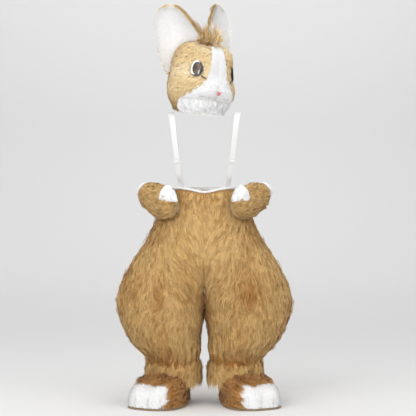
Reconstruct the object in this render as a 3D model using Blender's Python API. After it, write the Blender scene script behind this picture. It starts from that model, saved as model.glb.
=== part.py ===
"""Rabbit costume in its worn pose: a furred head with two ears, trousers gathered under the knee
and held by two straps, a pair of mitts and a pair of foot paws.

Metres. The front faces -Y, the wearer's left is +X, and the origin lies midway between the
places where the straps cross the shoulders.
"""

import math

import bmesh
import bpy
import numpy as np

SEAM = 0.0003  # each piece stops this far short of its seam

FLOOR = -1.390
FUR_WALL = 0.008  # backing and standing pile
WEBBING = 0.0018

HEAD_TURN = math.radians(30.5)
HEAD_ROLL = math.radians(6)  # the crown leans to the wearer's left
HEAD_CENTRE = np.array([-0.009, -0.012, 0.197])

# name: red, green, blue, roughness
MATERIALS = {
    "tan_fur": (0.62, 0.40, 0.19, 0.92),
    "light_tan_fur": (0.70, 0.50, 0.28, 0.92),
    "russet_fur": (0.50, 0.24, 0.08, 0.92),
    "white_fur": (0.86, 0.84, 0.80, 0.90),
    "white_webbing": (0.84, 0.83, 0.81, 0.70),
    "white_plastic": (0.85, 0.85, 0.84, 0.35),
    "eye_white": (0.88, 0.87, 0.85, 0.40),
    "iris_brown": (0.10, 0.045, 0.015, 0.12),
    "black_felt": (0.015, 0.013, 0.012, 0.80),
    "pink_felt": (0.75, 0.36, 0.36, 0.75),
    "sole_cloth": (0.35, 0.26, 0.17, 0.85),
}


def clear_scene():
    for old in list(bpy.data.objects):
        bpy.data.objects.remove(old)


def make_material(name):
    red, green, blue, roughness = MATERIALS[name]
    material = bpy.data.materials.new(name)
    material.use_nodes = True
    shader = material.node_tree.nodes["Principled BSDF"]
    shader.inputs["Base Color"].default_value = (red, green, blue, 1.0)
    shader.inputs["Roughness"].default_value = roughness
    shader.inputs["Metallic"].default_value = 0.0
    return material


def make_collection(name):
    made = bpy.data.collections.new(name)
    bpy.context.scene.collection.children.link(made)
    return made


def add_object(name, bm, material):
    mesh = bpy.data.meshes.new(name)
    bm.to_mesh(mesh)
    bm.free()
    obj = bpy.data.objects.new(name, mesh)
    obj.data.materials.append(PAINT[material])
    COSTUME.objects.link(obj)
    return obj


def eased(table, column, at):
    """Value of a named column of a section table at heights `at`, with a smooth run between rows."""
    rows = np.array([[row[0], row[column]] for row in table], float)
    rows = rows[np.argsort(rows[:, 0])]
    x, y = rows.T
    slope = np.gradient(y, x)
    at = np.clip(at, x[0], x[-1])
    i = np.clip(np.searchsorted(x, at) - 1, 0, len(x) - 2)
    width = x[i + 1] - x[i]
    t = (at - x[i]) / width
    rise = y[i] * (2 * t**3 - 3 * t**2 + 1) + y[i + 1] * (3 * t**2 - 2 * t**3)
    return rise + width * (slope[i] * (t**3 - 2 * t**2 + t) + slope[i + 1] * (t**3 - t**2))


def unit(vectors):
    return vectors / np.maximum(np.linalg.norm(vectors, axis=-1, keepdims=True), 1e-12)


def normals_of(surface, u, v, outward):
    """Normals of the whole surface, turned to the side that `outward` points to."""
    step = 1e-4
    across = surface(u + step, v) - surface(u - step, v)
    along = surface(u, v + step) - surface(u, v - step)
    normal = unit(np.cross(across, along))
    facing = np.sum(normal * outward, axis=-1, keepdims=True)
    return np.where(facing < 0, -normal, normal)


def inset(points, ring):
    """The grid with its edges drawn in by the seam allowance."""
    drawn = points.copy()
    if not ring:
        drawn[0] += unit(points[1] - points[0]) * SEAM
        drawn[-1] += unit(points[-2] - points[-1]) * SEAM
    drawn[:, 0] += unit(points[:, 1] - points[:, 0]) * SEAM
    drawn[:, -1] += unit(points[:, -2] - points[:, -1]) * SEAM
    return drawn


def wall(name, outer, inner, material, ring=False, pole=False):
    """A closed wall between two grids of points, which a ring joins to itself."""
    columns, rows = outer.shape[0] - 1, outer.shape[1] - 1
    tip_outer, tip_inner = outer[:, -1].copy(), inner[:, -1].copy()
    outer, inner = inset(outer, ring), inset(inner, ring)
    if pole:
        outer[:, -1] = tip_outer.mean(axis=0)
        inner[:, -1] = tip_inner.mean(axis=0)
    if ring:
        outer[-1], inner[-1] = outer[0], inner[0]
    bm = bmesh.new()
    column = bm.verts.layers.int.new("column")
    row = bm.verts.layers.int.new("row")
    bmesh.ops.create_grid(bm, x_segments=columns, y_segments=rows, size=0.5)
    for vertex in bm.verts:
        vertex[column] = round((vertex.co.x + 0.5) * columns)
        vertex[row] = round((vertex.co.y + 0.5) * rows)
        vertex.co = outer[vertex[column], vertex[row]]
    bmesh.ops.remove_doubles(bm, verts=bm.verts[:], dist=1e-6)
    grown = bmesh.ops.extrude_face_region(bm, geom=bm.faces[:])
    for part in grown["geom"]:
        if isinstance(part, bmesh.types.BMVert):
            part.co = inner[part[column], part[row]]
    bmesh.ops.triangulate(bm, faces=bm.faces[:], quad_method="SHORT_EDGE")
    bmesh.ops.recalc_face_normals(bm, faces=bm.faces[:])
    if bm.calc_volume(signed=True) < 0:
        bmesh.ops.reverse_faces(bm, faces=bm.faces[:])
    return add_object(name, bm, material)


def grid(columns, rows):
    return np.meshgrid(np.linspace(0, 1, columns + 1), np.linspace(0, 1, rows + 1), indexing="ij")


# Head. Azimuth 0 is the face, and positive azimuth is the wearer's left. Row 0 is the neck
# opening and row 1 the crown.

# row: up the head, height over the head centre, half width, reach forward, reach back
HEAD_SECTIONS = (
    (0.00, -0.166, 0.128, 0.114, 0.128),
    (0.12, -0.135, 0.153, 0.148, 0.143),
    (0.24, -0.100, 0.163, 0.164, 0.152),
    (0.34, -0.068, 0.163, 0.160, 0.160),
    (0.46, -0.030, 0.157, 0.151, 0.166),
    (0.58, 0.010, 0.152, 0.147, 0.166),
    (0.70, 0.050, 0.148, 0.142, 0.160),
    (0.80, 0.083, 0.139, 0.132, 0.148),
    (0.88, 0.110, 0.121, 0.113, 0.128),
    (0.94, 0.128, 0.093, 0.086, 0.098),
    (0.98, 0.138, 0.052, 0.048, 0.055),
    (1.00, 0.141, 0.000, 0.000, 0.000),
)
# row: up the head, half width of the white blaze and muzzle in degrees of azimuth
BLAZE_SECTIONS = (
    (0.00, 80.0),
    (0.05, 76.0),
    (0.10, 67.0),
    (0.14, 57.5),
    (0.19, 47.0),
    (0.27, 33.5),
    (0.33, 26.0),
    (0.41, 19.0),
    (0.49, 16.5),
    (0.60, 14.0),
    (0.72, 13.0),
    (0.80, 12.5),
    (0.86, 12.0),
    (0.90, 10.0),
    (0.95, 0.8),
)
HEAD_RADIUS = 0.15
HEAD_SPAN = 0.333  # height covered by one unit of `up` near the eyes
NAPE_DROP = 0.028  # the hem hangs this much lower at the back of the neck
BLAZE_FOOT = 0.10
BLAZE_TOP = 0.95
RUFF_SWELL = 0.012
RUFF_DROOP = 0.026  # the long hair reaches this far below the hem
HEAD_ROWS = (0.0, 0.05, 0.10, 0.14, 0.18, 0.22, 0.255, 0.29, 0.37, 0.46, 0.55, 0.64, 0.72, 0.79,
             0.84, 0.90, 0.95, 0.985)


def head_point(azimuth, up):
    """Point of the head in the head's own frame: an oval section with a muzzle swelling."""
    up = np.clip(up, 0.0, 1.0)
    nape = NAPE_DROP * np.clip(1 - up / 0.16, 0, 1) ** 2 * (1 - np.cos(azimuth)) / 2
    height = eased(HEAD_SECTIONS, 1, up) - nape
    half = eased(HEAD_SECTIONS, 2, up)
    reach = np.where(np.cos(azimuth) > 0, eased(HEAD_SECTIONS, 3, up), eased(HEAD_SECTIONS, 4, up))
    muzzle = 0.010 * np.exp(-((azimuth / 0.42) ** 2)) * np.exp(-(((up - 0.22) / 0.12) ** 2))
    beside = np.abs(np.arctan2(np.sin(azimuth), np.cos(azimuth)))
    level = np.exp(-(((up - 0.58) / 0.17) ** 2))
    temple = -0.015 * np.exp(-(((beside - 0.95) / 0.28) ** 2)) * level
    bridge = 0.007 * np.exp(-(((beside - 0.32) / 0.25) ** 2)) * level
    swell = 1 + (muzzle + temple + bridge) / 0.15
    return np.stack((
        half * swell * np.sin(azimuth),
        -reach * swell * np.cos(azimuth),
        height + 0 * azimuth,
    ), axis=-1)


def turned(points):
    """From the head's own frame to the worn pose, with the face turned to the wearer's left."""
    cos, sin = math.cos(HEAD_TURN), math.sin(HEAD_TURN)
    across, level = math.cos(HEAD_ROLL), math.sin(HEAD_ROLL)
    x, y, z = points[..., 0], points[..., 1], points[..., 2]
    x, y = x * cos - y * sin, x * sin + y * cos
    return np.stack((x * across + z * level, y, z * across - x * level), axis=-1) + HEAD_CENTRE


def head_normal(azimuth, up):
    return normals_of(head_point, azimuth, up, head_point(azimuth, np.clip(up, 0.02, 0.98)))


def blaze_edge(up):
    return np.radians(eased(BLAZE_SECTIONS, 1, np.clip(up, 0.0, BLAZE_TOP)))


def seam_room(up):
    """Azimuth left free beside the blaze, more where its edge runs across the face."""
    step = 0.005
    slant = (blaze_edge(up + step) - blaze_edge(up - step)) / (2 * step) * HEAD_RADIUS / HEAD_SPAN
    return SEAM * 2 / HEAD_RADIUS * np.hypot(1, slant)


def head_panel(name, azimuth, up, material, thickness=FUR_WALL, side=1):
    outer = head_point(azimuth, up)
    inner = outer - head_normal(azimuth, up) * thickness
    mirror = np.array([side, 1, 1])
    return wall(name, turned(outer * mirror), turned(inner * mirror), material)


def build_hood():
    rows = np.array(HEAD_ROWS)
    across = np.linspace(0, 1, 13)
    share, up = np.meshgrid(across, rows, indexing="ij")
    front = np.where(up > BLAZE_TOP + 1e-6, 0.0, blaze_edge(up))
    azimuth = front + (math.pi - front) * share
    for side, hand in ((1, "left"), (-1, "right")):
        head_panel(f"hood_{hand}", azimuth, up, "tan_fur", side=side)


def build_face():
    rows = np.array([row for row in HEAD_ROWS if BLAZE_FOOT - 1e-6 < row < BLAZE_TOP + 1e-6])
    share, up = np.meshgrid(np.linspace(-1, 1, 13), rows, indexing="ij")
    head_panel("blaze", share * (blaze_edge(up) - seam_room(up)), up, "white_fur")
    rows = np.array([row for row in HEAD_ROWS if row < BLAZE_FOOT + 1e-6])
    share, up = np.meshgrid(np.linspace(-1, 1, 13), rows, indexing="ij")
    azimuth = share * (blaze_edge(up) - seam_room(up))
    thick = RUFF_SWELL * (1 - share**2) ** 0.5 * (1 - up / BLAZE_FOOT * 0.6)
    outer = head_point(azimuth, up)
    normal = head_normal(azimuth, up)
    droop = np.array([0.0, 0.0, -RUFF_DROOP])
    fall = ((1 - up / BLAZE_FOOT) * (1 - share**4))[..., None] * droop
    inner = outer - normal * FUR_WALL
    wall("ruff", turned(outer + normal * thick[..., None] + fall), turned(inner), "white_fur")


EYE_AZIMUTH = {"left": math.radians(45.0), "right": math.radians(40.0)}
EYE_UP = 0.54
EYE_HALF_WIDTH = 0.031
EYE_HALF_HEIGHT = 0.0385
EYE_BASE = 0.0024  # the white starts this far off the fur
EYE_RISE = 0.004
IRIS_HALF_WIDTH = 0.0227
IRIS_HALF_HEIGHT = 0.0308
IRIS_BASE = 0.0069
IRIS_SHIFT = -0.03  # azimuth towards the nose
TEAR_FROM = (-0.172, -0.100)  # azimuth and height, from the middle of the eye
TEAR_RUN = (-0.165, -0.045)
TEAR_WIDTH = 0.030
TEAR_BASE = 0.0010
TEAR_WALL = 0.0020
NOSE_UP = 0.210
NOSE_HALF_WIDTH = 0.010
NOSE_HALF_HEIGHT = 0.011
NOSE_BASE = 0.0008
NOSE_RISE = 0.007


def disc_on_head(name, centre, half_width, half_height, base, rise, material, side=1, shift=0.0):
    """A domed disc made from the head's own points moved out."""
    around, out = grid(16, 2)
    angle = around * 2 * math.pi
    radius = 1 - out
    azimuth = centre[0] + shift + radius * np.cos(angle) * half_width / HEAD_RADIUS
    up = centre[1] + radius * np.sin(angle) * half_height / HEAD_SPAN
    foot = head_point(azimuth, up)
    normal = head_normal(azimuth, up)
    dome = base + rise * (1 - 0.55 * radius**2)
    outer = foot + normal * dome[..., None]
    inner = foot + normal * (base + 0 * radius)[..., None]
    mirror = np.array([side, 1, 1])
    wall(name, turned(outer * mirror), turned(inner * mirror), material, ring=True, pole=True)


def build_eyes():
    for side, hand in ((1, "left"), (-1, "right")):
        eye = (EYE_AZIMUTH[hand], EYE_UP)
        disc_on_head(f"eye_white_{hand}", eye, EYE_HALF_WIDTH, EYE_HALF_HEIGHT, EYE_BASE, EYE_RISE,
                     "eye_white", side)
        disc_on_head(f"iris_{hand}", eye, IRIS_HALF_WIDTH, IRIS_HALF_HEIGHT, IRIS_BASE, EYE_RISE,
                     "iris_brown", side, shift=IRIS_SHIFT)
        share, along = grid(2, 4)
        aside = (share - 0.5) * TEAR_WIDTH * (1.2 - along)
        azimuth = EYE_AZIMUTH[hand] + TEAR_FROM[0] + TEAR_RUN[0] * along + aside
        up = EYE_UP + TEAR_FROM[1] + TEAR_RUN[1] * along + aside
        foot = head_point(azimuth, up)
        normal = head_normal(azimuth, up)
        mirror = np.array([side, 1, 1])
        wall(f"tear_line_{hand}", turned((foot + normal * (TEAR_BASE + TEAR_WALL)) * mirror),
             turned((foot + normal * TEAR_BASE) * mirror), "black_felt")


def build_nose():
    disc_on_head("nose", (0.0, NOSE_UP), NOSE_HALF_WIDTH, NOSE_HALF_HEIGHT, NOSE_BASE, NOSE_RISE,
                 "pink_felt")


# Ears. Each is a leaf curled about its length, whose foot sits on the crown.

# row: up the ear, half width, hollow behind the rim line, lean of the axis to the outside
EAR_SECTIONS = (
    (0.00, 0.124, 0.060, 0.003),
    (0.27, 0.127, 0.058, 0.006),
    (0.56, 0.108, 0.048, 0.013),
    (0.71, 0.091, 0.040, 0.014),
    (0.85, 0.070, 0.028, 0.012),
    (0.95, 0.042, 0.015, 0.007),
    (1.00, 0.012, 0.004, 0.002),
)
EAR_LENGTH = 0.291
EAR_CURL = math.radians(55)
EAR_BACK_WALL = 0.006
EAR_LINING_WALL = 0.005
EAR_LINED_AT = 0.0014  # the lining starts this far into the hollow
EAR_RIM = 0.006
EAR_CLEAR = 0.003  # the middle of the ear wall ends this far above the head
EAR_OFF_HEAD = 0.0010  # no layer of the ear comes nearer to the head
LOBE_DROP = 0.058  # the outer corner of the foot hangs this much lower
LOBE_IN = 0.034  # and this much nearer to the head
# ear: side, facing of the hollow and lean of the axis in degrees, foot from the head centre,
# width against the table, and how far the inner corner is brought forward and down to the
# forehead, all with the face turned and before the head leans
EARS = {
    "right": (-1, -8.0, -22.0, (-0.074, -0.068, 0.020), 1.0, (0.042, -0.048, -0.050)),
    "left": (1, 58.0, -6.0, (0.072, -0.022, 0.034), 0.82, (0.044, -0.012, -0.030)),
}
CORNER_FROM = 0.36  # share of the ear up to which the inner corner is moved whole
CORNER_RUN = 0.36


UP = np.array([0.0, 0.0, 1.0])


def ear_free(ear, share, up):
    """One ear leaf before its foot is cut to the head."""
    side, facing, lean_angle, foot, width, corner = EARS[ear]
    facing, tilt = math.radians(facing), math.radians(lean_angle)
    normal = np.array([math.sin(facing), -math.cos(facing), 0.10])
    chord = np.array([math.cos(facing), math.sin(facing), 0.0])
    axis = np.array([math.sin(tilt), 0.0, math.cos(tilt)])
    half = eased(EAR_SECTIONS, 1, up) * width
    hollow = eased(EAR_SECTIONS, 2, up) * width
    lean = eased(EAR_SECTIONS, 3, up)
    curl = share * EAR_CURL
    lobe = ((1 + side * share) / 2) ** 2 * np.clip(1 - up / 0.7, 0, 1) ** 2
    sideways = half * np.sin(curl) / math.sin(EAR_CURL) + side * (lean - LOBE_IN * lobe)
    behind = hollow * (np.cos(curl) - math.cos(EAR_CURL)) / (1 - math.cos(EAR_CURL))
    near = np.clip(1 - (up - CORNER_FROM) / CORNER_RUN, 0, 1)
    forward = ((1 - side * share) / 2) ** 2 * near * near * (3 - 2 * near)
    return (np.array(foot) + sideways[..., None] * chord - behind[..., None] * normal
            + (up * EAR_LENGTH)[..., None] * axis - (LOBE_DROP * lobe)[..., None] * UP
            + forward[..., None] * np.array(corner))


def head_reach(points):
    """Distance from the head centre to the head's surface along the way to each point."""
    azimuth = np.arctan2(points[..., 0], -points[..., 1])
    slope = np.arctan2(points[..., 2], np.hypot(points[..., 0], points[..., 1]))
    steps = np.linspace(0.0, 1.0, 121)
    line = head_point(azimuth[..., None] + 0 * steps, steps + 0 * azimuth[..., None])
    rise = np.arctan2(line[..., 2], np.hypot(line[..., 0], line[..., 1]))
    length = np.linalg.norm(line, axis=-1)
    flat = [np.interp(at, up, reach) for at, up, reach in zip(
        slope.ravel(), rise.reshape(-1, len(steps)), length.reshape(-1, len(steps)))]
    return np.array(flat).reshape(slope.shape)


def in_head_frame(points):
    """Back from the turned face, before the head leans, to the head's own frame."""
    cos, sin = math.cos(HEAD_TURN), math.sin(HEAD_TURN)
    x, y, z = points[..., 0], points[..., 1], points[..., 2]
    return np.stack((x * cos + y * sin, -x * sin + y * cos, z), axis=-1)


def ear_foot_line(ear, share):
    """How far up the free leaf each line of it leaves the head, and which lines do."""
    steps = np.linspace(0.0, 0.9, 91)
    line_share, line_up = np.meshgrid(share, steps, indexing="ij")
    line = in_head_frame(ear_free(ear, line_share, line_up))
    inside = np.linalg.norm(line, axis=-1) < head_reach(line) + EAR_CLEAR
    last = inside.shape[1] - 1 - np.argmax(inside[:, ::-1], axis=1)
    sewn = inside.any(axis=1)
    return np.where(sewn, steps[last] + steps[1], 0.0), sewn


EAR_SHARES = np.linspace(-1, 1, 25)
EAR_FEET = {ear: ear_foot_line(ear, EAR_SHARES) for ear in EARS}
EAR_STARTS = {
    ear: np.convolve(np.pad(foot[0], 1, mode="edge"), (0.25, 0.5, 0.25), "valid")
    for ear, foot in EAR_FEET.items()
}
EAR_SEWN = {ear: foot[1] for ear, foot in EAR_FEET.items()}


def ear_surface(ear, share, up):
    """One ear in the head's own frame, from where it leaves the head to the tip."""
    start = np.interp(share, EAR_SHARES, EAR_STARTS[ear])
    return in_head_frame(ear_free(ear, share, start + (1 - start) * up))


def ear_layer(ear, share, up, into):
    """Points `into` the hollow from the ear's middle, kept off the head. Where the ear lies flat
    on the head, its layers keep their order over each other."""
    middle = ear_surface(ear, share, up)
    normal = unit(np.cross(ear_surface(ear, share + 1e-3, up) - ear_surface(ear, share - 1e-3, up),
                           ear_surface(ear, share, up + 1e-3) - ear_surface(ear, share, up - 1e-3)))
    rims = ear_surface(ear, np.array([0.99, -0.99]), np.array([0.6, 0.6])).mean(axis=0)
    facing = rims - ear_surface(ear, np.array([0.0]), np.array([0.6]))[0]
    centre = np.argmin(np.abs(share[:, 0]))
    if np.dot(normal[centre, share.shape[1] // 2], facing) < 0:
        normal = -normal
    layer = middle + normal * into
    reach = np.linalg.norm(layer, axis=-1)
    flat = np.sum(normal * unit(middle), axis=-1)
    under = np.where(flat > 0, into + EAR_BACK_WALL, into - EAR_LINED_AT - EAR_LINING_WALL)
    head = head_reach(layer) + EAR_OFF_HEAD + under * flat
    sewn = (up < 0.02) & (np.interp(share, EAR_SHARES, EAR_SEWN[ear]) > 0.99)
    wanted = np.where(sewn, head, np.maximum(reach, head))
    return layer * (wanted / reach)[..., None]


def build_ears():
    share, up = grid(12, 8)
    share = 2 * share - 1
    for ear, (_, _, _, _, width, _) in EARS.items():
        half = eased(EAR_SECTIONS, 1, 0.35 + 0.65 * up) * width
        lined_share = share * (1 - EAR_RIM / half)
        lined_up = 0.01 + up * (0.99 - EAR_RIM / EAR_LENGTH)
        wall(f"ear_back_{ear}", turned(ear_layer(ear, share, up, -EAR_BACK_WALL)),
             turned(ear_layer(ear, share, up, 0.0)), "tan_fur")
        wall(f"ear_lining_{ear}",
             turned(ear_layer(ear, lined_share, lined_up, EAR_LINED_AT + EAR_LINING_WALL)),
             turned(ear_layer(ear, lined_share, lined_up, EAR_LINED_AT)), "white_fur")


# Trousers. Each leg is an oval tube. Above the crotch the two tubes run together, and each is
# cut off at the middle of the body.

LEG_HEM = -1.171
# row: height, outer reach, inner reach (negative where the legs run together), front, back
LEG_SECTIONS = (
    (-0.362, 0.172, -0.105, 0.118, 0.112),
    (-0.400, 0.184, -0.106, 0.126, 0.123),
    (-0.475, 0.216, -0.112, 0.140, 0.146),
    (-0.552, 0.244, -0.110, 0.152, 0.165),
    (-0.610, 0.273, -0.100, 0.162, 0.176),
    (-0.686, 0.323, -0.080, 0.175, 0.186),
    (-0.763, 0.369, -0.052, 0.186, 0.191),
    (-0.840, 0.402, -0.022, 0.193, 0.191),
    (-0.885, 0.413, -0.008, 0.195, 0.191),
    (-0.920, 0.415, 0.0004, 0.195, 0.190),
    (-0.955, 0.409, 0.003, 0.192, 0.187),
    (-0.994, 0.396, 0.007, 0.188, 0.183),
    (-1.032, 0.381, 0.012, 0.181, 0.177),
    (-1.070, 0.361, 0.017, 0.170, 0.166),
    (-1.109, 0.333, 0.019, 0.155, 0.152),
    (-1.128, 0.313, 0.020, 0.146, 0.143),
    (-1.147, 0.291, 0.024, 0.135, 0.132),
    (LEG_HEM, 0.268, 0.030, 0.118, 0.116),
)
WAIST = -0.366
WAIST_DIP = 0.020  # the front of the waist hangs this much lower
WAIST_DIP_WIDTH = 0.07
WAIST_EASE = 0.114  # height over which the dip fades out below the waist
CROTCH = -0.92
MERGED = -0.55  # from here up the front runs flat from one leg to the other
MIDDLE = 0.0004  # each side stops this far from the centre seam
LEG_ROWS = (-0.366, -0.402, -0.445, -0.500, -0.560, -0.620, -0.680, -0.740, -0.800, -0.860, -0.920,
            -0.965, -1.010, -1.050, -1.090, -1.120, -1.147, LEG_HEM)
GATHERS = 11
GATHER_DEPTH = 0.006
GATHER_TOP = -1.075


def leg_bow(angle, height):
    """Share of the full depth round a leg, with the valley between the legs filled near the waist."""
    merged = np.clip((height - CROTCH) / (MERGED - CROTCH), 0, 1)
    merged = merged * merged * (3 - 2 * merged) * (angle > math.pi / 2)
    return np.sin(angle) + (1 - np.sin(angle)) * merged


def leg_point(turn, height, front):
    """Point of the left leg. `turn` runs from 0 at the side seam to 1 at the middle."""
    outer = eased(LEG_SECTIONS, 1, height)
    inner = eased(LEG_SECTIONS, 2, height)
    depth = np.where(front, eased(LEG_SECTIONS, 3, height), eased(LEG_SECTIONS, 4, height))
    centre = (outer + inner) / 2
    half = (outer - inner) / 2
    last = np.arccos(np.clip(-(centre - MIDDLE) / half, -1, 1))
    angle = turn * last
    gather = GATHER_DEPTH * np.clip((GATHER_TOP - height) / 0.06, 0, 1) * np.cos(2 * GATHERS * angle)
    x = centre + (half + gather) * np.cos(angle) - gather * (turn > 0.999)
    y = -(depth + gather) * leg_bow(angle, height)
    x = np.maximum(x, MIDDLE)
    return np.stack((x, np.where(front, y, -y), height + 0 * turn), axis=-1)


def leg_normal(turn, height, front):
    def surface(u, v):
        return leg_point(u, v, front)

    outer = eased(LEG_SECTIONS, 1, height)
    inner = eased(LEG_SECTIONS, 2, height)
    centre = np.stack(((outer + inner) / 2, 0 * height, height), axis=-1)
    outward = leg_point(turn, height, front) - centre
    normal = normals_of(surface, np.clip(turn, 0.002, 0.998), height, outward)
    seam = (turn < 1e-6) | ((turn > 1 - 1e-6) & (inner > 0))
    normal[..., 1] = np.where(seam, 0.0, normal[..., 1])
    return unit(normal)


def waist_drop(x):
    """How much lower the waist edge is than at the sides."""
    return WAIST_DIP * np.exp(-((x / WAIST_DIP_WIDTH) ** 2))


def build_trousers():
    turn, height = np.meshgrid(np.linspace(0, 1, 13), np.array(LEG_ROWS), indexing="ij")
    for front, name in ((True, "front"), (False, "back")):
        at = height.copy()
        if front:
            x = leg_point(turn, height, True)[..., 0]
            at = height - waist_drop(x) * np.clip((height - WAIST) / WAIST_EASE + 1, 0, 1) ** 2
        outer = leg_point(turn, at, front)
        inner = outer - leg_normal(turn, at, front) * FUR_WALL
        inner[..., 0] = np.maximum(inner[..., 0], MIDDLE)
        for side, hand in ((1, "left"), (-1, "right")):
            mirror = np.array([side, 1, 1])
            wall(f"trouser_{name}_{hand}", outer * mirror, inner * mirror, "tan_fur")


BINDING_HEIGHT = 0.011
BINDING_OUT = 0.001  # beyond the fur cloth that it closes
BINDING_WALL = 0.007
BINDING_CLEAR = 0.0002  # over the cut edge of the fur cloth


def build_waist_binding():
    """A band over the top edge, all round the waist."""
    around = np.linspace(0, 2 * math.pi, 49)
    outer = eased(LEG_SECTIONS, 1, WAIST)
    inner = eased(LEG_SECTIONS, 2, WAIST)
    centre, half = (outer + inner) / 2, (outer - inner) / 2
    quarter = np.abs(np.mod(around + math.pi / 2, math.pi) - math.pi / 2)
    last = math.acos(-centre / half)
    turn = quarter / (math.pi / 2)
    front = np.sin(around) < 0
    depth = np.where(front, eased(LEG_SECTIONS, 3, WAIST), eased(LEG_SECTIONS, 4, WAIST))
    angle = turn * last
    x = np.sign(np.cos(around)) * (centre + half * np.cos(angle))
    y = np.sign(np.sin(around)) * depth * leg_bow(angle, WAIST)
    low = WAIST + BINDING_CLEAR - np.where(front, waist_drop(x), 0)
    ring = np.stack((x, y, low), axis=-1)
    ring[-1] = ring[0]
    tangent = np.roll(ring[:-1], -1, axis=0) - np.roll(ring[:-1], 1, axis=0)
    out = unit(np.stack((tangent[:, 1], -tangent[:, 0], 0 * tangent[:, 0]), axis=-1))
    out = np.concatenate((out, out[:1]))
    up = np.array([0.0, 0.0, BINDING_HEIGHT])
    swollen = ring + out * BINDING_OUT
    face = np.stack((swollen, swollen + up * 0.5, ring + up), axis=1)
    back = face - out[:, None] * BINDING_WALL
    wall("waist_binding", face, back, "white_webbing", ring=True)


CUFF_TOP = -1.1711
CUFF_HEM = -1.2520
# row: height, half width, half depth
CUFF_SECTIONS = (
    (CUFF_HEM, 0.131, 0.122),
    (-1.225, 0.130, 0.121),
    (-1.195, 0.128, 0.118),
    (CUFF_TOP, 0.121, 0.116),
)
CUFF_CENTRE = 0.148


def build_cuffs():
    around, along = grid(24, 3)
    angle = around * 2 * math.pi
    height = CUFF_TOP + (CUFF_HEM - CUFF_TOP) * along

    def surface(u, v):
        z = CUFF_TOP + (CUFF_HEM - CUFF_TOP) * v
        return np.stack((CUFF_CENTRE + eased(CUFF_SECTIONS, 1, z) * np.cos(2 * math.pi * u),
                         eased(CUFF_SECTIONS, 2, z) * np.sin(2 * math.pi * u), z), axis=-1)

    outer = surface(around, along)
    centre = np.stack((CUFF_CENTRE + 0 * angle, 0 * angle, height), axis=-1)
    inner = outer - normals_of(surface, around, along, outer - centre) * FUR_WALL
    for side, hand in ((1, "left"), (-1, "right")):
        mirror = np.array([side, 1, 1])
        wall(f"cuff_{hand}", outer * mirror, inner * mirror, "tan_fur", ring=True)


# Braces.

# row: along the strap, sideways, forward (minus) or back, height, half width
STRAP_PATH = (
    (0.00, 0.112, -0.081, -0.390, 0.0115),
    (0.05, 0.113, -0.083, -0.352, 0.0115),
    (0.15, 0.121, -0.108, -0.300, 0.0120),
    (0.22, 0.128, -0.124, -0.2376, 0.0125),
    (0.30, 0.136, -0.131, -0.170, 0.0130),
    (0.37, 0.143, -0.128, -0.110, 0.0133),
    (0.43, 0.150, -0.108, -0.050, 0.0135),
    (0.47, 0.157, -0.072, -0.014, 0.0135),
    (0.505, 0.161, -0.030, 0.000, 0.0135),
    (0.54, 0.161, 0.015, -0.002, 0.0135),
    (0.58, 0.158, 0.058, -0.022, 0.0135),
    (0.63, 0.150, 0.092, -0.070, 0.0133),
    (0.70, 0.141, 0.112, -0.140, 0.0130),
    (0.80, 0.128, 0.112, -0.225, 0.0125),
    (0.95, 0.111, 0.082, -0.350, 0.0120),
    (1.00, 0.108, 0.077, -0.390, 0.0115),
)
SLIDER_AT = -0.2376
SLOT_HALF = 0.0040
SLIDER_BAR = 0.0040
SLIDER_THICK = 0.0020
SLIDER_WIDTH = 0.036
SLOT_WIDTH = 0.0275
SLIDER_LIFT = 0.0005  # the plate lies this far off the webbing
WEAVE = 0.0050  # how far the webbing comes forward over the middle bar
CHEST = np.array([0.0, 0.0, -0.15])


def strap_frame(at):
    """Middle line of the left strap, its width direction and the direction away from the chest."""
    line = np.stack([eased(STRAP_PATH, column, at) for column in (1, 2, 3)], axis=-1)
    ahead = np.stack([eased(STRAP_PATH, column, at + 0.004) for column in (1, 2, 3)], axis=-1)
    behind = np.stack([eased(STRAP_PATH, column, at - 0.004) for column in (1, 2, 3)], axis=-1)
    forward = unit(ahead - behind)
    slant = np.clip(-line[:, 1] / 0.09, -1, 1) * 0.45
    side = np.stack((1 + 0 * slant, slant, 0 * slant), axis=-1)
    side = unit(side - forward * np.sum(side * forward, axis=-1, keepdims=True))
    out = unit(np.cross(side, forward))
    out = np.where(np.sum(out * (line - CHEST), axis=-1, keepdims=True) < 0, -out, out)
    return line, side, forward, out


def slider_share():
    """Where along the strap the slider's middle bar lies."""
    at = np.linspace(0.15, 0.30, 301)
    return np.interp(SLIDER_AT, strap_frame(at)[0][:, 2], at)


def build_straps():
    middle = slider_share()
    near = np.linspace(middle - 0.02, middle + 0.02, 401)
    line = strap_frame(near)[0]
    travel = np.concatenate(([0.0], np.cumsum(np.linalg.norm(np.diff(line, axis=0), axis=1))))
    travel = travel - np.interp(middle, near, travel)
    over_bar = SLIDER_BAR / 2 + 0.0008
    under_bar = SLIDER_BAR / 2 + 2 * SLOT_HALF - 0.0008
    bends = np.interp(np.array([-under_bar, -over_bar, over_bar, under_bar]), travel, near)
    steps = np.concatenate((np.linspace(0, 0.195, 6), bends, np.linspace(0.245, 1, 27)))
    line, side, _, out = strap_frame(steps)
    half = eased(STRAP_PATH, 4, steps)
    woven = (steps > bends[0] + 1e-9) & (steps < bends[3] - 1e-9)
    line = line + out * (WEAVE * woven)[:, None]
    share = np.array([-1.0, 0.0, 1.0])
    face = line[None] + share[:, None, None] * (side * half[:, None])[None]
    outer = face + out[None] * WEBBING / 2
    inner = face - out[None] * WEBBING / 2
    for sign, hand in ((1, "left"), (-1, "right")):
        mirror = np.array([sign, 1, 1])
        wall(f"strap_{hand}", outer * mirror, inner * mirror, "white_webbing")


def add_box(bm, centre, size):
    made = bmesh.ops.create_cube(bm, size=1.0)
    for vertex in made["verts"]:
        vertex.co = [vertex.co[i] * size[i] + centre[i] for i in range(3)]


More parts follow.
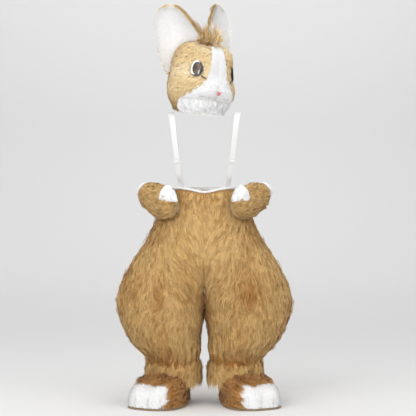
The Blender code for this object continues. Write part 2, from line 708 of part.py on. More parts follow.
def build_sliders():
    """A three-bar slide: a plate with two slots, set flat on the webbing."""
    place, side, step, out = (found[0] for found in strap_frame(np.array([slider_share()])))
    height = 2 * (SLIDER_BAR + 2 * SLOT_HALF) + SLIDER_BAR
    lift = WEBBING / 2 + SLIDER_LIFT + SLIDER_THICK / 2
    for sign, hand in ((1, "left"), (-1, "right")):
        bm = bmesh.new()
        add_box(bm, (0, 0, 0), (SLIDER_WIDTH, SLIDER_THICK, height))
        plate = add_object(f"slider_{hand}", bm, "white_plastic")
        cutter_bm = bmesh.new()
        for up in (1, -1):
            add_box(cutter_bm, (0, 0, up * (SLIDER_BAR / 2 + SLOT_HALF)),
                    (SLOT_WIDTH, SLIDER_THICK * 3, SLOT_HALF * 2))
        cutter = add_object(f"slider_slots_{hand}", cutter_bm, "white_plastic")
        COSTUME.objects.unlink(cutter)
        CUTTERS.objects.link(cutter)
        cutter.hide_render = True
        cutter.display_type = "WIRE"
        for obj in (plate, cutter):
            for vertex in obj.data.vertices:
                local = np.array(vertex.co)
                spot = place + side * local[0] + out * (lift - local[1]) + step * local[2]
                vertex.co = spot * np.array([sign, 1, 1])
            flip = bmesh.new()
            flip.from_mesh(obj.data)
            bmesh.ops.recalc_face_normals(flip, faces=flip.faces[:])
            flip.to_mesh(obj.data)
            flip.free()
        slots = plate.modifiers.new("slots", "BOOLEAN")
        slots.operation = "DIFFERENCE"
        slots.solver = "EXACT"
        slots.object = cutter


# Mitts. A rounded bag along a bent line from the wrist to the finger end, hand on the hip.

# row: along the hand, sideways, forward (minus), height, half height, half thickness
MITT_PATH = (
    (0.00, 0.2900, -0.0249, -0.3730, 0.040, 0.034),
    (0.12, 0.2710, -0.0429, -0.3880, 0.055, 0.040),
    (0.30, 0.2420, -0.0699, -0.4060, 0.068, 0.044),
    (0.50, 0.2130, -0.1019, -0.4220, 0.075, 0.045),
    (0.68, 0.1840, -0.1349, -0.4330, 0.073, 0.043),
    (0.82, 0.1620, -0.1559, -0.4350, 0.062, 0.038),
    (0.92, 0.1470, -0.1679, -0.4330, 0.043, 0.028),
    (0.98, 0.1385, -0.1749, -0.4310, 0.019, 0.013),
    (1.00, 0.1355, -0.1769, -0.4305, 0.000, 0.000),
)
MITT_ROWS = (0.0, 0.12, 0.26, 0.42, 0.58, 0.70, 0.80, 0.88, 0.94)
MITT_WALL = 0.007
TIP_FROM = -0.125  # the white tip reaches from behind the top seam
TIP_TO = 0.21  # to the front of the hand
TIP_ROWS = (0.68, 0.74, 0.80, 0.88, 0.94, 0.97)
TIP_BASE = 0.0016
TIP_EDGE = 0.004
TIP_SWELL = 0.017
MITT_BINDING_HEIGHT = 0.0111
MITT_BINDING_OUT = 0.0006
MITT_BINDING_WALL = 0.0045
MITT_BINDING_CLEAR = 0.0004  # behind the cut edge of the mitt


def mitt_frame(at):
    line = np.stack([eased(MITT_PATH, column, at) for column in (1, 2, 3)], axis=-1)
    later, earlier = np.clip(at + 0.02, 0, 1), np.clip(at - 0.02, 0, 1)
    ahead = np.stack([eased(MITT_PATH, column, later) for column in (1, 2, 3)], axis=-1)
    behind = np.stack([eased(MITT_PATH, column, earlier) for column in (1, 2, 3)], axis=-1)
    forward = unit(ahead - behind)
    up = np.array([0.0, 0.0, 1.0]) + 0 * line
    up = unit(up - forward * np.sum(up * forward, axis=-1, keepdims=True))
    front = np.cross(up, forward)
    front = np.where(front[..., 1:2] > 0, -front, front)
    return line, up, front


def mitt_point(turn, at):
    """Left mitt. `turn` 0 is the top seam, a quarter is the back of the hand, half is the bottom."""
    line, up, front = mitt_frame(np.clip(at, 0, 1))
    high = eased(MITT_PATH, 4, at)[..., None]
    thick = eased(MITT_PATH, 5, at)[..., None]
    angle = (turn * 2 * math.pi)[..., None]
    return line + up * np.cos(angle) * high + front * np.sin(angle) * thick


def mitt_normal(turn, at):
    line, _, _ = mitt_frame(np.clip(at, 0, 1))
    middle = mitt_frame(np.full_like(at, 0.5))[0]
    away = mitt_point(turn, at) - line * 0.8 - middle * 0.2
    return normals_of(mitt_point, turn, np.clip(at, 0.001, 0.985), away)


def build_mitts():
    for low, high, name, material in ((0.0, 0.5, "back", "tan_fur"), (0.5, 1.0, "palm", "light_tan_fur")):
        turn, at = np.meshgrid(np.linspace(low, high, 9), np.array(MITT_ROWS + (0.985, 1.0)), indexing="ij")
        outer = mitt_point(turn, at)
        inner = outer - mitt_normal(turn, at) * MITT_WALL
        end = mitt_frame(np.array([1.0, 0.96]))[0]
        spread = unit(inner[:, -2] - inner[:, -2].mean(axis=0))
        inner[:, -1] = end[0] - unit(end[0] - end[1]) * MITT_WALL + spread * 0.0006
        outer[:, -1] = end[0] + spread * 0.0006
        for side, hand in ((1, "left"), (-1, "right")):
            mirror = np.array([side, 1, 1])
            wall(f"mitt_{name}_{hand}", outer * mirror, inner * mirror, material)
    turn, at = np.meshgrid(np.linspace(TIP_FROM, TIP_TO, 6), np.array(TIP_ROWS), indexing="ij")
    foot = mitt_point(turn, at)
    normal = mitt_normal(turn, at)
    middle = np.sin(np.clip((turn - TIP_FROM) / (TIP_TO - TIP_FROM), 0, 1) * math.pi)
    along = np.sin(np.clip((at - 0.50) / 0.50, 0, 1) * math.pi * 0.8)
    outer = foot + normal * (TIP_BASE + TIP_EDGE + TIP_SWELL * middle * along)[..., None]
    inner = foot + normal * TIP_BASE
    for side, hand in ((1, "left"), (-1, "right")):
        mirror = np.array([side, 1, 1])
        wall(f"mitt_tip_{hand}", outer * mirror, inner * mirror, "white_fur")


def build_mitt_bindings():
    """A flat band that closes the wrist edge of each mitt."""
    turn = np.linspace(0, 1, 25)
    start = mitt_point(turn, 0 * turn)
    line, _, _ = mitt_frame(0 * turn)
    ahead, _, _ = mitt_frame(0 * turn + 0.06)
    back = unit(line - ahead)
    out = unit(start - line)
    rows = MITT_BINDING_CLEAR + MITT_BINDING_HEIGHT * np.array([0.0, 0.5, 1.0])
    face = (start + out * MITT_BINDING_OUT)[:, None] + back[:, None] * rows[None, :, None]
    rear = face - out[:, None] * MITT_BINDING_WALL
    for side, hand in ((1, "left"), (-1, "right")):
        mirror = np.array([side, 1, 1])
        wall(f"mitt_binding_{hand}", face * mirror, rear * mirror, "white_webbing", ring=True)


# Foot paws. The sole outline is given round the ankle, 0 straight ahead, and the upper swells
# from the ankle opening down to the sole.

# row: turn from straight ahead in degrees, reach of the sole outline
SOLE_OUTLINE = (
    (0.0, 0.256),
    (15.0, 0.256),
    (31.0, 0.230),
    (45.0, 0.182),
    (60.0, 0.138),
    (90.0, 0.096),
    (135.0, 0.092),
    (180.0, 0.098),
)
FOOT_TURN = math.radians(28)
ANKLE = np.array([0.164, -0.006])
ANKLE_HALF_WIDTH = 0.082
ANKLE_HALF_LENGTH = 0.084
SOLE_THICK = 0.009
UPPER_FOOT = 0.0093  # over the floor
CAP_INSIDE = math.radians(30)  # the white cap, from straight ahead to the inside of the foot
CAP_OUTSIDE = math.radians(75)
CAP_START = 0.33  # share of the way from ankle opening to sole
TOE_SPREAD = math.radians(29)
TOE_DEPTH = 0.004
RIM_HEIGHT = 0.152
RIM_SLOPE = 0.017  # the ankle opening is this much lower in front
SIDE_SWELL = 0.006
UPPER_BULGE = 0.75


def sole_reach(turn):
    return eased(SOLE_OUTLINE, 1, np.degrees(np.abs((turn + math.pi) % (2 * math.pi) - math.pi)))


def foot_point(turn, down):
    """Left upper. `down` runs from 0 at the ankle opening to 1 at the sole."""
    turn = np.arctan2(np.sin(turn), np.cos(turn))
    cos, sin = np.cos(turn), np.sin(turn)
    across = np.hypot(ANKLE_HALF_WIDTH * cos, ANKLE_HALF_LENGTH * sin)
    rim = ANKLE_HALF_LENGTH * ANKLE_HALF_WIDTH / across
    rim_height = RIM_HEIGHT - RIM_SLOPE * cos
    quarter = np.clip(down, 0, 1) * math.pi / 2
    toes = TOE_DEPTH * np.cos(turn / TOE_SPREAD * 2 * math.pi + math.pi) * np.exp(-((turn / 0.75) ** 4))
    side = np.sin(quarter * 2)
    reach = rim + (sole_reach(turn) - rim) * np.sin(quarter) + toes * side + SIDE_SWELL * side**2
    fall = np.maximum(np.cos(quarter), 0) ** UPPER_BULGE
    height = UPPER_FOOT + (rim_height - UPPER_FOOT) * fall
    return np.stack((reach * sin, -reach * cos, height + FLOOR), axis=-1)


def foot_to_place(points):
    """From the foot's own frame to the left foot, toes turned out."""
    cos, sin = math.cos(FOOT_TURN), math.sin(FOOT_TURN)
    x, y, z = points[..., 0], points[..., 1], points[..., 2]
    return np.stack((x * cos - y * sin + ANKLE[0], x * sin + y * cos + ANKLE[1], z), axis=-1)


def foot_piece(name, turn, down, material, ring=False):
    outer = foot_point(turn, down)
    core = np.stack((0 * turn, -0.06 * (np.cos(turn) > 0), 0 * turn + FLOOR + 0.03), axis=-1)
    normal = normals_of(foot_point, turn, np.clip(down, 0.004, 0.985), outer - core)
    inner = outer - normal * FUR_WALL
    inner[..., 2] = np.maximum(inner[..., 2], FLOOR + UPPER_FOOT)
    for side, hand in ((1, "left"), (-1, "right")):
        mirror = np.array([side, 1, 1])
        wall(f"{name}_{hand}", foot_to_place(outer) * mirror, foot_to_place(inner) * mirror, material,
             ring=ring)


def build_feet():
    cap = np.linspace(-CAP_INSIDE, CAP_OUTSIDE, 13)
    heel = np.linspace(CAP_OUTSIDE, 2 * math.pi - CAP_INSIDE, 17)
    shaft = np.concatenate((cap[:-1], heel))
    turn, down = np.meshgrid(shaft, np.linspace(0, CAP_START, 4), indexing="ij")
    foot_piece("foot_shaft", turn, down, "russet_fur", ring=True)
    turn, down = np.meshgrid(heel, np.linspace(CAP_START, 1, 6), indexing="ij")
    foot_piece("foot_heel", turn, down, "russet_fur")
    turn, down = np.meshgrid(cap, np.linspace(CAP_START + 0.002, 1, 6), indexing="ij")
    foot_piece("toe_cap", turn, down, "white_fur")
    share, out = grid(28, 1)
    turn = share * 2 * math.pi
    reach = (sole_reach(turn) - 0.001) * (1 - out)
    flat = np.stack((reach * np.sin(turn), -reach * np.cos(turn), 0 * turn + FLOOR), axis=-1)
    raised = flat + np.array([0, 0, SOLE_THICK])
    for side, hand in ((1, "left"), (-1, "right")):
        mirror = np.array([side, 1, 1])
        wall(f"sole_{hand}", foot_to_place(flat) * mirror, foot_to_place(raised) * mirror, "sole_cloth",
             ring=True, pole=True)


clear_scene()
COSTUME = make_collection("rabbit_costume")
CUTTERS = make_collection("cutters")
CUTTERS.hide_render = True
PAINT = {name: make_material(name) for name in MATERIALS}
build_hood()
build_face()
build_eyes()
build_nose()
build_ears()
build_trousers()
build_waist_binding()
build_cuffs()
build_straps()
build_sliders()
build_mitts()
build_mitt_bindings()
build_feet()
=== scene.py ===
import math

import bmesh
import bpy
import numpy as np
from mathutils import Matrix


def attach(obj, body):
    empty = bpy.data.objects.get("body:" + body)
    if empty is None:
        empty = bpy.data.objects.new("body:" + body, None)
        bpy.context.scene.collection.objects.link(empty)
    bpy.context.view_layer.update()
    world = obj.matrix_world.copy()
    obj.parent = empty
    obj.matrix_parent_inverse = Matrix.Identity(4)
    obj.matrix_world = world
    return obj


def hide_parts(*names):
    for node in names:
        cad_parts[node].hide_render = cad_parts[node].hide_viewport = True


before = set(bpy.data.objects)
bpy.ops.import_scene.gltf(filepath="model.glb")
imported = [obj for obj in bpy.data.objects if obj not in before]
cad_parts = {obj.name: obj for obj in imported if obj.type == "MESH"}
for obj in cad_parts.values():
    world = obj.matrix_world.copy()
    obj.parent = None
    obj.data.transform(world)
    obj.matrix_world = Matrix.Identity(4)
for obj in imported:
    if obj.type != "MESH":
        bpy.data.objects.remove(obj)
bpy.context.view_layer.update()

bl_info = {
    "name": "Rabbit Costume Looks",
    "version": (1, 0, 0),
    "blender": (4, 5, 0),
    "location": "3D View > Sidebar > Costume",
    "description": "Fur, plush, webbing, eyes and studio of a rabbit costume over its packed frame",
    "category": "Object",
}

SIDES = ((1, "left"), (-1, "right"))
FLOOR = -1.390
UP = np.array([0.0, 0.0, 1.0])
rng = np.random.default_rng(4473)


# Curves and surfaces


def eased(table, column, at):
    """Hermite curve through one column of a section table, read at heights `at`."""
    rows = np.array([[row[0], row[column]] for row in table], float)
    rows = rows[np.argsort(rows[:, 0])]
    x, y = rows.T
    slope = np.gradient(y, x)
    at = np.clip(at, x[0], x[-1])
    i = np.clip(np.searchsorted(x, at) - 1, 0, len(x) - 2)
    width = x[i + 1] - x[i]
    t = (at - x[i]) / width
    rise = y[i] * (2 * t**3 - 3 * t**2 + 1) + y[i + 1] * (3 * t**2 - 2 * t**3)
    return rise + width * (slope[i] * (t**3 - 2 * t**2 + t) + slope[i + 1] * (t**3 - t**2))


def unit(vectors):
    """Each vector over its own length."""
    return vectors / np.maximum(np.linalg.norm(vectors, axis=-1, keepdims=True), 1e-12)


def dot(a, b):
    return np.sum(a * b, axis=-1)


def stack(x, y, z):
    """Vectors from their three parts, brought to one shape."""
    x, y, z = np.broadcast_arrays(x, y, z)
    return np.stack((x, y, z), axis=-1).astype(float)


def mirrored(points, side):
    """The points as they are for side 1, and mirrored to the wearer's right for side -1."""
    return points * np.array([side, 1, 1])


def grid(first, second):
    """Two parameters over all pairs of their values."""
    return np.meshgrid(first, second, indexing="ij")


def path_line(table, at):
    """Point of the line that columns 1 to 3 of a path table give."""
    return np.stack([eased(table, column, at) for column in (1, 2, 3)], axis=-1)


def path_way(table, at, step):
    """Direction of that line, by central difference."""
    return unit(path_line(table, at + step) - path_line(table, at - step))


class Surface:
    """A sheet point(u, v) over a range of u and v, with its normal turned to the fur side."""

    def __init__(self, point, u_range, v_range, inside, side=1):
        self.point_left = point
        self.u_range, self.v_range, self.side = u_range, v_range, side
        u, v = np.array([np.mean(u_range)]), np.array([np.mean(v_range)])
        self.turned = 1.0
        away = self.point(u, v) - mirrored(np.array(inside), side)
        self.turned = 1.0 if dot(self.normal(u, v), away)[0] > 0 else -1.0

    def point(self, u, v):
        return mirrored(self.point_left(u, v), self.side)

    def slopes(self, u, v):
        """Central differences of the sheet along u and along v."""
        a = 2e-4 * (self.u_range[1] - self.u_range[0])
        b = 2e-4 * (self.v_range[1] - self.v_range[0])
        along_u = (self.point(u + a, v) - self.point(u - a, v)) / (2 * a)
        along_v = (self.point(u, v + b) - self.point(u, v - b)) / (2 * b)
        return along_u, along_v

    def normal(self, u, v):
        """Cross product of the two slopes, made a unit vector."""
        along_u, along_v = self.slopes(u, v)
        return unit(np.cross(along_u, along_v)) * self.turned

    def face(self, aim):
        """Turns the normal at the middle of the sheet to the side on which `aim` lies."""
        u, v = np.array([np.mean(self.u_range)]), np.array([np.mean(self.v_range)])
        if dot(self.normal(u, v), aim - self.point(u, v))[0] < 0:
            self.turned = -self.turned

    def steps(self, u, v, way):
        """Change of u and v for one metre along the tangent vector `way`: the metric solved."""
        along_u, along_v = self.slopes(u, v)
        a, b, c = dot(along_u, along_u), dot(along_u, along_v), dot(along_v, along_v)
        p, q = dot(along_u, way), dot(along_v, way)
        det = np.maximum(a * c - b * b, 1e-12)
        return (c * p - b * q) / det, (a * q - b * p) / det

    def scatter(self, count):
        """Places spread evenly by area: stratified picks from the running sum of cell areas."""
        cells = 48
        u = np.linspace(*self.u_range, cells + 1)
        v = np.linspace(*self.v_range, cells + 1)
        uu, vv = grid((u[:-1] + u[1:]) / 2, (v[:-1] + v[1:]) / 2)
        along_u, along_v = self.slopes(uu, vv)
        area = np.linalg.norm(np.cross(along_u, along_v), axis=-1).ravel()
        total = np.cumsum(area)
        pick = (np.arange(count) + rng.random(count)) / count * total[-1]
        cell = np.clip(np.searchsorted(total, pick), 0, cells * cells - 1)
        iu, iv = cell // cells, cell % cells
        return (u[iu] + (u[1] - u[0]) * rng.random(count),
                v[iv] + (v[1] - v[0]) * rng.random(count))


# Meshes


def mesh_object(name, points, faces, material, smooth=True):
    """Object at the origin from arrays: points (n, 3) and faces given as loops and their sizes."""
    loops, sizes = faces
    mesh = bpy.data.meshes.new(name)
    mesh.vertices.add(len(points))
    mesh.vertices.foreach_set("co", np.ascontiguousarray(points, np.float32).ravel())
    mesh.loops.add(len(loops))
    mesh.loops.foreach_set("vertex_index", loops.astype(np.int32))
    mesh.polygons.add(len(sizes))
    starts = np.concatenate(([0], np.cumsum(sizes)[:-1]))
    mesh.polygons.foreach_set("loop_start", starts.astype(np.int32))
    mesh.update(calc_edges=True)
    mesh.validate()
    mesh.polygons.foreach_set("use_smooth", np.full(len(mesh.polygons), smooth))
    obj = bpy.data.objects.new(name, mesh)
    bpy.context.scene.collection.objects.link(obj)
    obj.data.materials.append(material)
    return obj


def grid_faces(columns, rows, start=0, flip=False):
    """Quads of a grid of points stored row by row within each column."""
    i, j = np.meshgrid(np.arange(columns - 1), np.arange(rows - 1), indexing="ij")
    a = (i * rows + j).ravel() + start
    quads = np.stack((a, a + rows, a + rows + 1, a + 1), axis=1)
    return quads[:, ::-1] if flip else quads


def wall_object(name, outer, inner, material, ring=False):
    """Wall between two grids (columns, rows, 3) that keeps the order of its points."""
    columns, rows = outer.shape[:2]
    count = columns * rows
    points = np.concatenate((outer.reshape(-1, 3), inner.reshape(-1, 3)))

    def rim(line):
        return np.stack((line[:-1], line[:-1] + count, line[1:] + count, line[1:]), axis=1)

    bottom, first = np.arange(columns) * rows, np.arange(rows)
    quads = [grid_faces(columns, rows), grid_faces(columns, rows, count, flip=True),
             rim(bottom[::-1]), rim(bottom + rows - 1)]
    if not ring:
        quads += [rim(first), rim(((columns - 1) * rows + first)[::-1])]
    quads = np.concatenate(quads)
    return mesh_object(name, points, (quads.ravel(), np.full(len(quads), 4)), material)


def weld(obj, slivers=False):
    """Merges doubled points, dissolves slivers where asked and turns all faces outwards."""
    bm = bmesh.new()
    bm.from_mesh(obj.data)
    bmesh.ops.remove_doubles(bm, verts=bm.verts[:], dist=1e-6)
    if slivers:
        bmesh.ops.dissolve_degenerate(bm, edges=bm.edges[:], dist=1e-7)
    bmesh.ops.recalc_face_normals(bm, faces=bm.faces[:])
    if bm.calc_volume(signed=True) < 0:
        bmesh.ops.reverse_faces(bm, faces=bm.faces[:])
    bm.to_mesh(obj.data)
    bm.free()


def shell(name, outer, inner, material, ring=False):
    """Closed wall, welded where a ring or a pole meets."""
    obj = wall_object(name, outer, inner, material, ring)
    weld(obj)
    return obj


def add_sharp(obj, angle=40):
    """Edges steeper than the angle stay crisp."""
    obj.data.set_sharp_from_angle(angle=math.radians(angle))


def skin(name, surface, cells, wall, material, ring=False):
    """Backing cloth under the pile: two offsets of the surface along its normal."""
    columns, rows = cells
    depth, thickness = wall
    u, v = grid(np.linspace(*surface.u_range, columns), np.linspace(*surface.v_range, rows))
    point, normal = surface.point(u, v), surface.normal(u, v)
    outer, inner = point - normal * depth, point - normal * (depth + thickness)
    if ring:
        outer[-1], inner[-1] = outer[0], inner[0]
    obj = shell(name, outer, inner, material, ring)
    add_sharp(obj, 60)
    return obj


LEVELS = np.array([0.0, 0.42, 1.0])
BLADE_WIDTHS = np.array([0.0, 1.0, 0.0])


def fur(name, surface, material, blades, per_lock, length, width, lift, depth, flow, lock=0.006,
        gather=0.75, yaw=10.0, roll=15.0, tip_lift=0.55, ruffle=1.0, tone=None, long=None,
        keep=None):
    """Pile of lozenge blades in locks. A blade walks over the surface along the combed way from a
    root on the backing, `depth` under it. It is widest at 0.42 of its length, where it stands
    `lift` over the backing, and its tip sinks to a share `tip_lift` of that. `gather` draws the
    tip to the middle of its lock, and `yaw` and `roll` turn locks and blades by chance, in
    degrees. `ruffle` lets a few locks stand out. `tone`, `long` and `keep` vary colour, length
    and cover by place."""
    locks = max(1, blades // per_lock)
    u, v = surface.scatter(locks)
    if keep is not None:
        kept = rng.random(locks) < keep(u, v, surface.point(u, v))
        u, v = u[kept], v[kept]
        locks = len(u)
    lock_turn = rng.normal(0, math.radians(yaw), locks)
    lock_lift = rng.uniform(0.55, 1.15, locks) * (1 + ruffle * rng.random(locks) ** 8)
    lock_tone = rng.random(locks)
    lock_long = rng.uniform(0.75, 1.2, locks)
    n = locks * per_lock
    each = np.repeat(np.arange(locks), per_lock)
    u, v = u[each], v[each]
    root = surface.point(u, v)
    normal = surface.normal(u, v)
    way = flow(root, normal)
    way = unit(way - normal * dot(way, normal)[:, None])
    turn = (lock_turn[each] + rng.normal(0, math.radians(yaw * 0.6), n))[:, None]
    way = way * np.cos(turn) + np.cross(normal, way) * np.sin(turn)
    step_u, step_v = surface.steps(u, v, way)
    around = rng.uniform(0, 2 * math.pi, n)
    out = lock * np.sqrt(rng.random(n))
    beside = unit(np.cross(way, normal))
    spread = way * (np.cos(around) * out * 1.6)[:, None] + beside * (np.sin(around) * out)[:, None]
    off_u, off_v = surface.steps(u, v, spread)
    scale = np.ones(n) if long is None else long(u, v, root)
    reach = length * lock_long[each] * rng.uniform(0.8, 1.1, n) * scale
    rise = lift * lock_lift[each] * rng.uniform(0.8, 1.15, n) * scale
    tilt = rng.normal(0, math.radians(roll), n)[:, None]
    shares = (0.0, 1.0, tip_lift * (1 - 0.5 * ruffle + 1.5 * ruffle * rng.random(locks)[each] ** 2))
    points = []
    low_u, high_u = sorted(surface.u_range)
    low_v, high_v = sorted(surface.v_range)
    home_u = np.clip(u + off_u, low_u, high_u) - u
    home_v = np.clip(v + off_v, low_v, high_v) - v
    for level, wide, share in zip(LEVELS, BLADE_WIDTHS, shares):
        at_u = u + home_u * (1 - gather * level) + step_u * reach * level
        at_v = v + home_v * (1 - gather * level) + step_v * reach * level
        middle = surface.point(at_u, at_v)
        up = surface.normal(at_u, at_v)
        middle = middle + up * (rise * share - depth)[:, None]
        across = unit(np.cross(way, up))
        across = across * np.cos(tilt) + up * np.sin(tilt)
        if wide:
            half = across * (width * wide / 2)
            points += [middle - half, middle + half]
        else:
            points.append(middle)
    points = np.stack(points, axis=1)
    base = (np.arange(n) * 4)[:, None]
    loops = np.concatenate((base + np.array([[0, 2, 1]]), base + np.array([[1, 2, 3]])), axis=1)
    obj = mesh_object(name, points.reshape(-1, 3), (loops.ravel(), np.full(2 * n, 3)), material)
    along = np.tile(np.repeat(LEVELS, (1, 2, 1)), n)
    hue = lock_tone[each] * 0.8 + 0.2 * rng.random(n)
    # Tone by place for the third channel: where a piece's `tone` paints them, it carries painted
    # shade and painted highlight as well as the fur's own tones.
    extra = np.full(n, 0.5) if tone is None else tone(root)
    values = np.stack((np.repeat(hue, 4), along, np.repeat(extra, 4), np.ones(n * 4)), axis=1)
    layer = obj.data.color_attributes.new("pile", "FLOAT_COLOR", "POINT")
    layer.data.foreach_set("color", values.astype(np.float32).ravel())
    return obj


# Head. Azimuth 0 is the face and positive azimuth the wearer's left; `up` 0 is the neck opening.

HEAD_TURN = math.radians(30.5)
HEAD_ROLL = math.radians(6)
HEAD_CENTRE = np.array([-0.009, -0.012, 0.197])
# row: up the head, height over the head centre, half width, reach forward, reach back
HEAD_SECTIONS = (
    (0.00, -0.166, 0.128, 0.114, 0.128),
    (0.12, -0.135, 0.153, 0.148, 0.143),
    (0.24, -0.100, 0.163, 0.164, 0.152),
    (0.34, -0.068, 0.163, 0.160, 0.160),
    (0.46, -0.030, 0.157, 0.151, 0.166),
    (0.58, 0.010, 0.152, 0.147, 0.166),
    (0.70, 0.050, 0.148, 0.142, 0.160),
    (0.80, 0.083, 0.139, 0.132, 0.148),
    (0.88, 0.110, 0.121, 0.113, 0.128),
    (0.94, 0.128, 0.093, 0.086, 0.098),
    (0.98, 0.138, 0.052, 0.048, 0.055),
    (1.00, 0.141, 0.000, 0.000, 0.000),
)
# row: up the head, half width of the white blaze and muzzle in degrees of azimuth
BLAZE_SECTIONS = (
    (0.00, 80.0),
    (0.05, 76.0),
    (0.10, 67.0),
    (0.14, 57.5),
    (0.19, 47.0),
    (0.27, 33.5),
    (0.33, 26.0),
    (0.41, 19.0),
    (0.49, 16.5),
    (0.60, 14.0),
    (0.72, 13.0),
    (0.80, 12.5),
    (0.86, 12.0),
    (0.90, 10.0),
    (0.95, 0.8),
)
HEAD_RADIUS = 0.15
HEAD_SPAN = 0.333  # height covered by one unit of `up` near the eyes
NAPE_DROP = 0.028  # the hem hangs this much lower at the back of the neck
BLAZE_FOOT = 0.10
BLAZE_TOP = 0.95
RUFF_DROOP = 0.026  # the long hair reaches this far below the hem


def head_point(azimuth, up):
    """Point of the head in the head's own frame: an oval section with a muzzle swelling."""
    up = np.clip(up, 0.0, 1.0)
    nape = NAPE_DROP * np.clip(1 - up / 0.16, 0, 1) ** 2 * (1 - np.cos(azimuth)) / 2
    height = eased(HEAD_SECTIONS, 1, up) - nape
    half = eased(HEAD_SECTIONS, 2, up)
    reach = np.where(np.cos(azimuth) > 0, eased(HEAD_SECTIONS, 3, up), eased(HEAD_SECTIONS, 4, up))
    muzzle = 0.010 * np.exp(-((azimuth / 0.42) ** 2)) * np.exp(-(((up - 0.22) / 0.12) ** 2))
    beside = np.abs(np.arctan2(np.sin(azimuth), np.cos(azimuth)))
    level = np.exp(-(((up - 0.58) / 0.17) ** 2))
    temple = -0.015 * np.exp(-(((beside - 0.95) / 0.28) ** 2)) * level
    bridge = 0.007 * np.exp(-(((beside - 0.32) / 0.25) ** 2)) * level
    swell = 1 + (muzzle + temple + bridge) / 0.15
    return np.stack((
        half * swell * np.sin(azimuth),
        -reach * swell * np.cos(azimuth),
        height + 0 * azimuth,
    ), axis=-1)


def turned(points):
    """From the head's own frame to the worn pose, with the face turned to the wearer's left."""
    cos, sin = math.cos(HEAD_TURN), math.sin(HEAD_TURN)
    across, level = math.cos(HEAD_ROLL), math.sin(HEAD_ROLL)
    x, y, z = points[..., 0], points[..., 1], points[..., 2]
    x, y = x * cos - y * sin, x * sin + y * cos
    return np.stack((x * across + z * level, y, z * across - x * level), axis=-1) + HEAD_CENTRE


def blaze_edge(up):
    """Azimuth at which the white fur ends, at a height of the head."""
    return np.radians(eased(BLAZE_SECTIONS, 1, np.clip(up, 0.0, BLAZE_TOP)))


EYE_AZIMUTH = {"left": math.radians(45.0), "right": math.radians(40.0)}
EYE_UP = 0.54
EYE_SIZE = (0.031, 0.0385)  # half width and half height
IRIS_SIZE = (0.0227, 0.0308)
IRIS_SHIFT = -0.03  # radians towards the nose
TEAR_START = (-0.172, -0.100)  # azimuth and share of the height, from the middle of the eye
TEAR_RUN = 0.165  # radians of azimuth from the eye to the end
TEAR_FALL = 0.045  # share of the head's height
TEAR_WIDTH = 0.030
NOSE_UP = 0.210
NOSE_SIZE = (0.010, 0.011)


# Ears. Each is a leaf curled about its length and cut where it leaves the crown.

# row: up the ear, half width, hollow behind the rim line, lean of the axis to the outside
EAR_SECTIONS = (
    (0.00, 0.124, 0.060, 0.003),
    (0.27, 0.127, 0.058, 0.006),
    (0.56, 0.108, 0.048, 0.013),
    (0.71, 0.091, 0.040, 0.014),
    (0.85, 0.070, 0.028, 0.012),
    (0.95, 0.042, 0.015, 0.007),
    (1.00, 0.012, 0.004, 0.002),
)
EAR_LENGTH = 0.291
EAR_CURL = math.radians(55)
EAR_BACK_WALL = 0.006
EAR_LINING_WALL = 0.005
EAR_LINED_AT = 0.0014  # the lining starts this far into the hollow
EAR_RIM = 0.006
EAR_CLEAR = 0.003  # the middle of the ear wall ends this far above the head
EAR_OFF_HEAD = 0.0010  # no layer of the ear comes nearer to the head
LOBE_DROP = 0.058  # the outer corner of the foot hangs this much lower
LOBE_IN = 0.034  # and this much nearer to the head
# ear: side, facing of the hollow and lean of the axis in degrees, foot from the head centre,
# width against the table, and how far the inner corner is brought forward and down to the
# forehead, all with the face turned and before the head leans
EARS = {
    "right": (-1, -8.0, -22.0, (-0.074, -0.068, 0.020), 1.0, (0.042, -0.048, -0.050)),
    "left": (1, 58.0, -6.0, (0.072, -0.022, 0.034), 0.82, (0.044, -0.012, -0.030)),
}
CORNER_FROM = 0.36  # share of the ear up to which the inner corner is moved whole
CORNER_RUN = 0.36


def ear_free(ear, share, up):
    """One ear leaf before its foot is cut to the head."""
    side, facing, lean_angle, foot, width, corner = EARS[ear]
    facing, tilt = math.radians(facing), math.radians(lean_angle)
    normal = np.array([math.sin(facing), -math.cos(facing), 0.10])
    chord = np.array([math.cos(facing), math.sin(facing), 0.0])
    axis = np.array([math.sin(tilt), 0.0, math.cos(tilt)])
    half = eased(EAR_SECTIONS, 1, up) * width
    hollow = eased(EAR_SECTIONS, 2, up) * width
    lean = eased(EAR_SECTIONS, 3, up)
    curl = share * EAR_CURL
    lobe = ((1 + side * share) / 2) ** 2 * np.clip(1 - up / 0.7, 0, 1) ** 2
    sideways = half * np.sin(curl) / math.sin(EAR_CURL) + side * (lean - LOBE_IN * lobe)
    behind = hollow * (np.cos(curl) - math.cos(EAR_CURL)) / (1 - math.cos(EAR_CURL))
    near = np.clip(1 - (up - CORNER_FROM) / CORNER_RUN, 0, 1)
    forward = ((1 - side * share) / 2) ** 2 * near * near * (3 - 2 * near)
    return (np.array(foot) + sideways[..., None] * chord - behind[..., None] * normal
            + (up * EAR_LENGTH)[..., None] * axis - (LOBE_DROP * lobe)[..., None] * UP
            + forward[..., None] * np.array(corner))


REACH_AZIMUTHS = np.linspace(-math.pi, math.pi, 73)
REACH_SLOPES = np.linspace(-1.2, math.pi / 2, 91)


def reach_table():
    """Distance from the head centre to its surface over azimuth and slope."""
    azimuth, up = grid(REACH_AZIMUTHS, np.linspace(0, 1, 161))
    line = head_point(azimuth, up)
    rise = np.arctan2(line[..., 2], np.hypot(line[..., 0], line[..., 1]))
    length = np.linalg.norm(line, axis=-1)
    return np.array([np.interp(REACH_SLOPES, rise[i], length[i]) for i in range(len(rise))])


REACHES = reach_table()


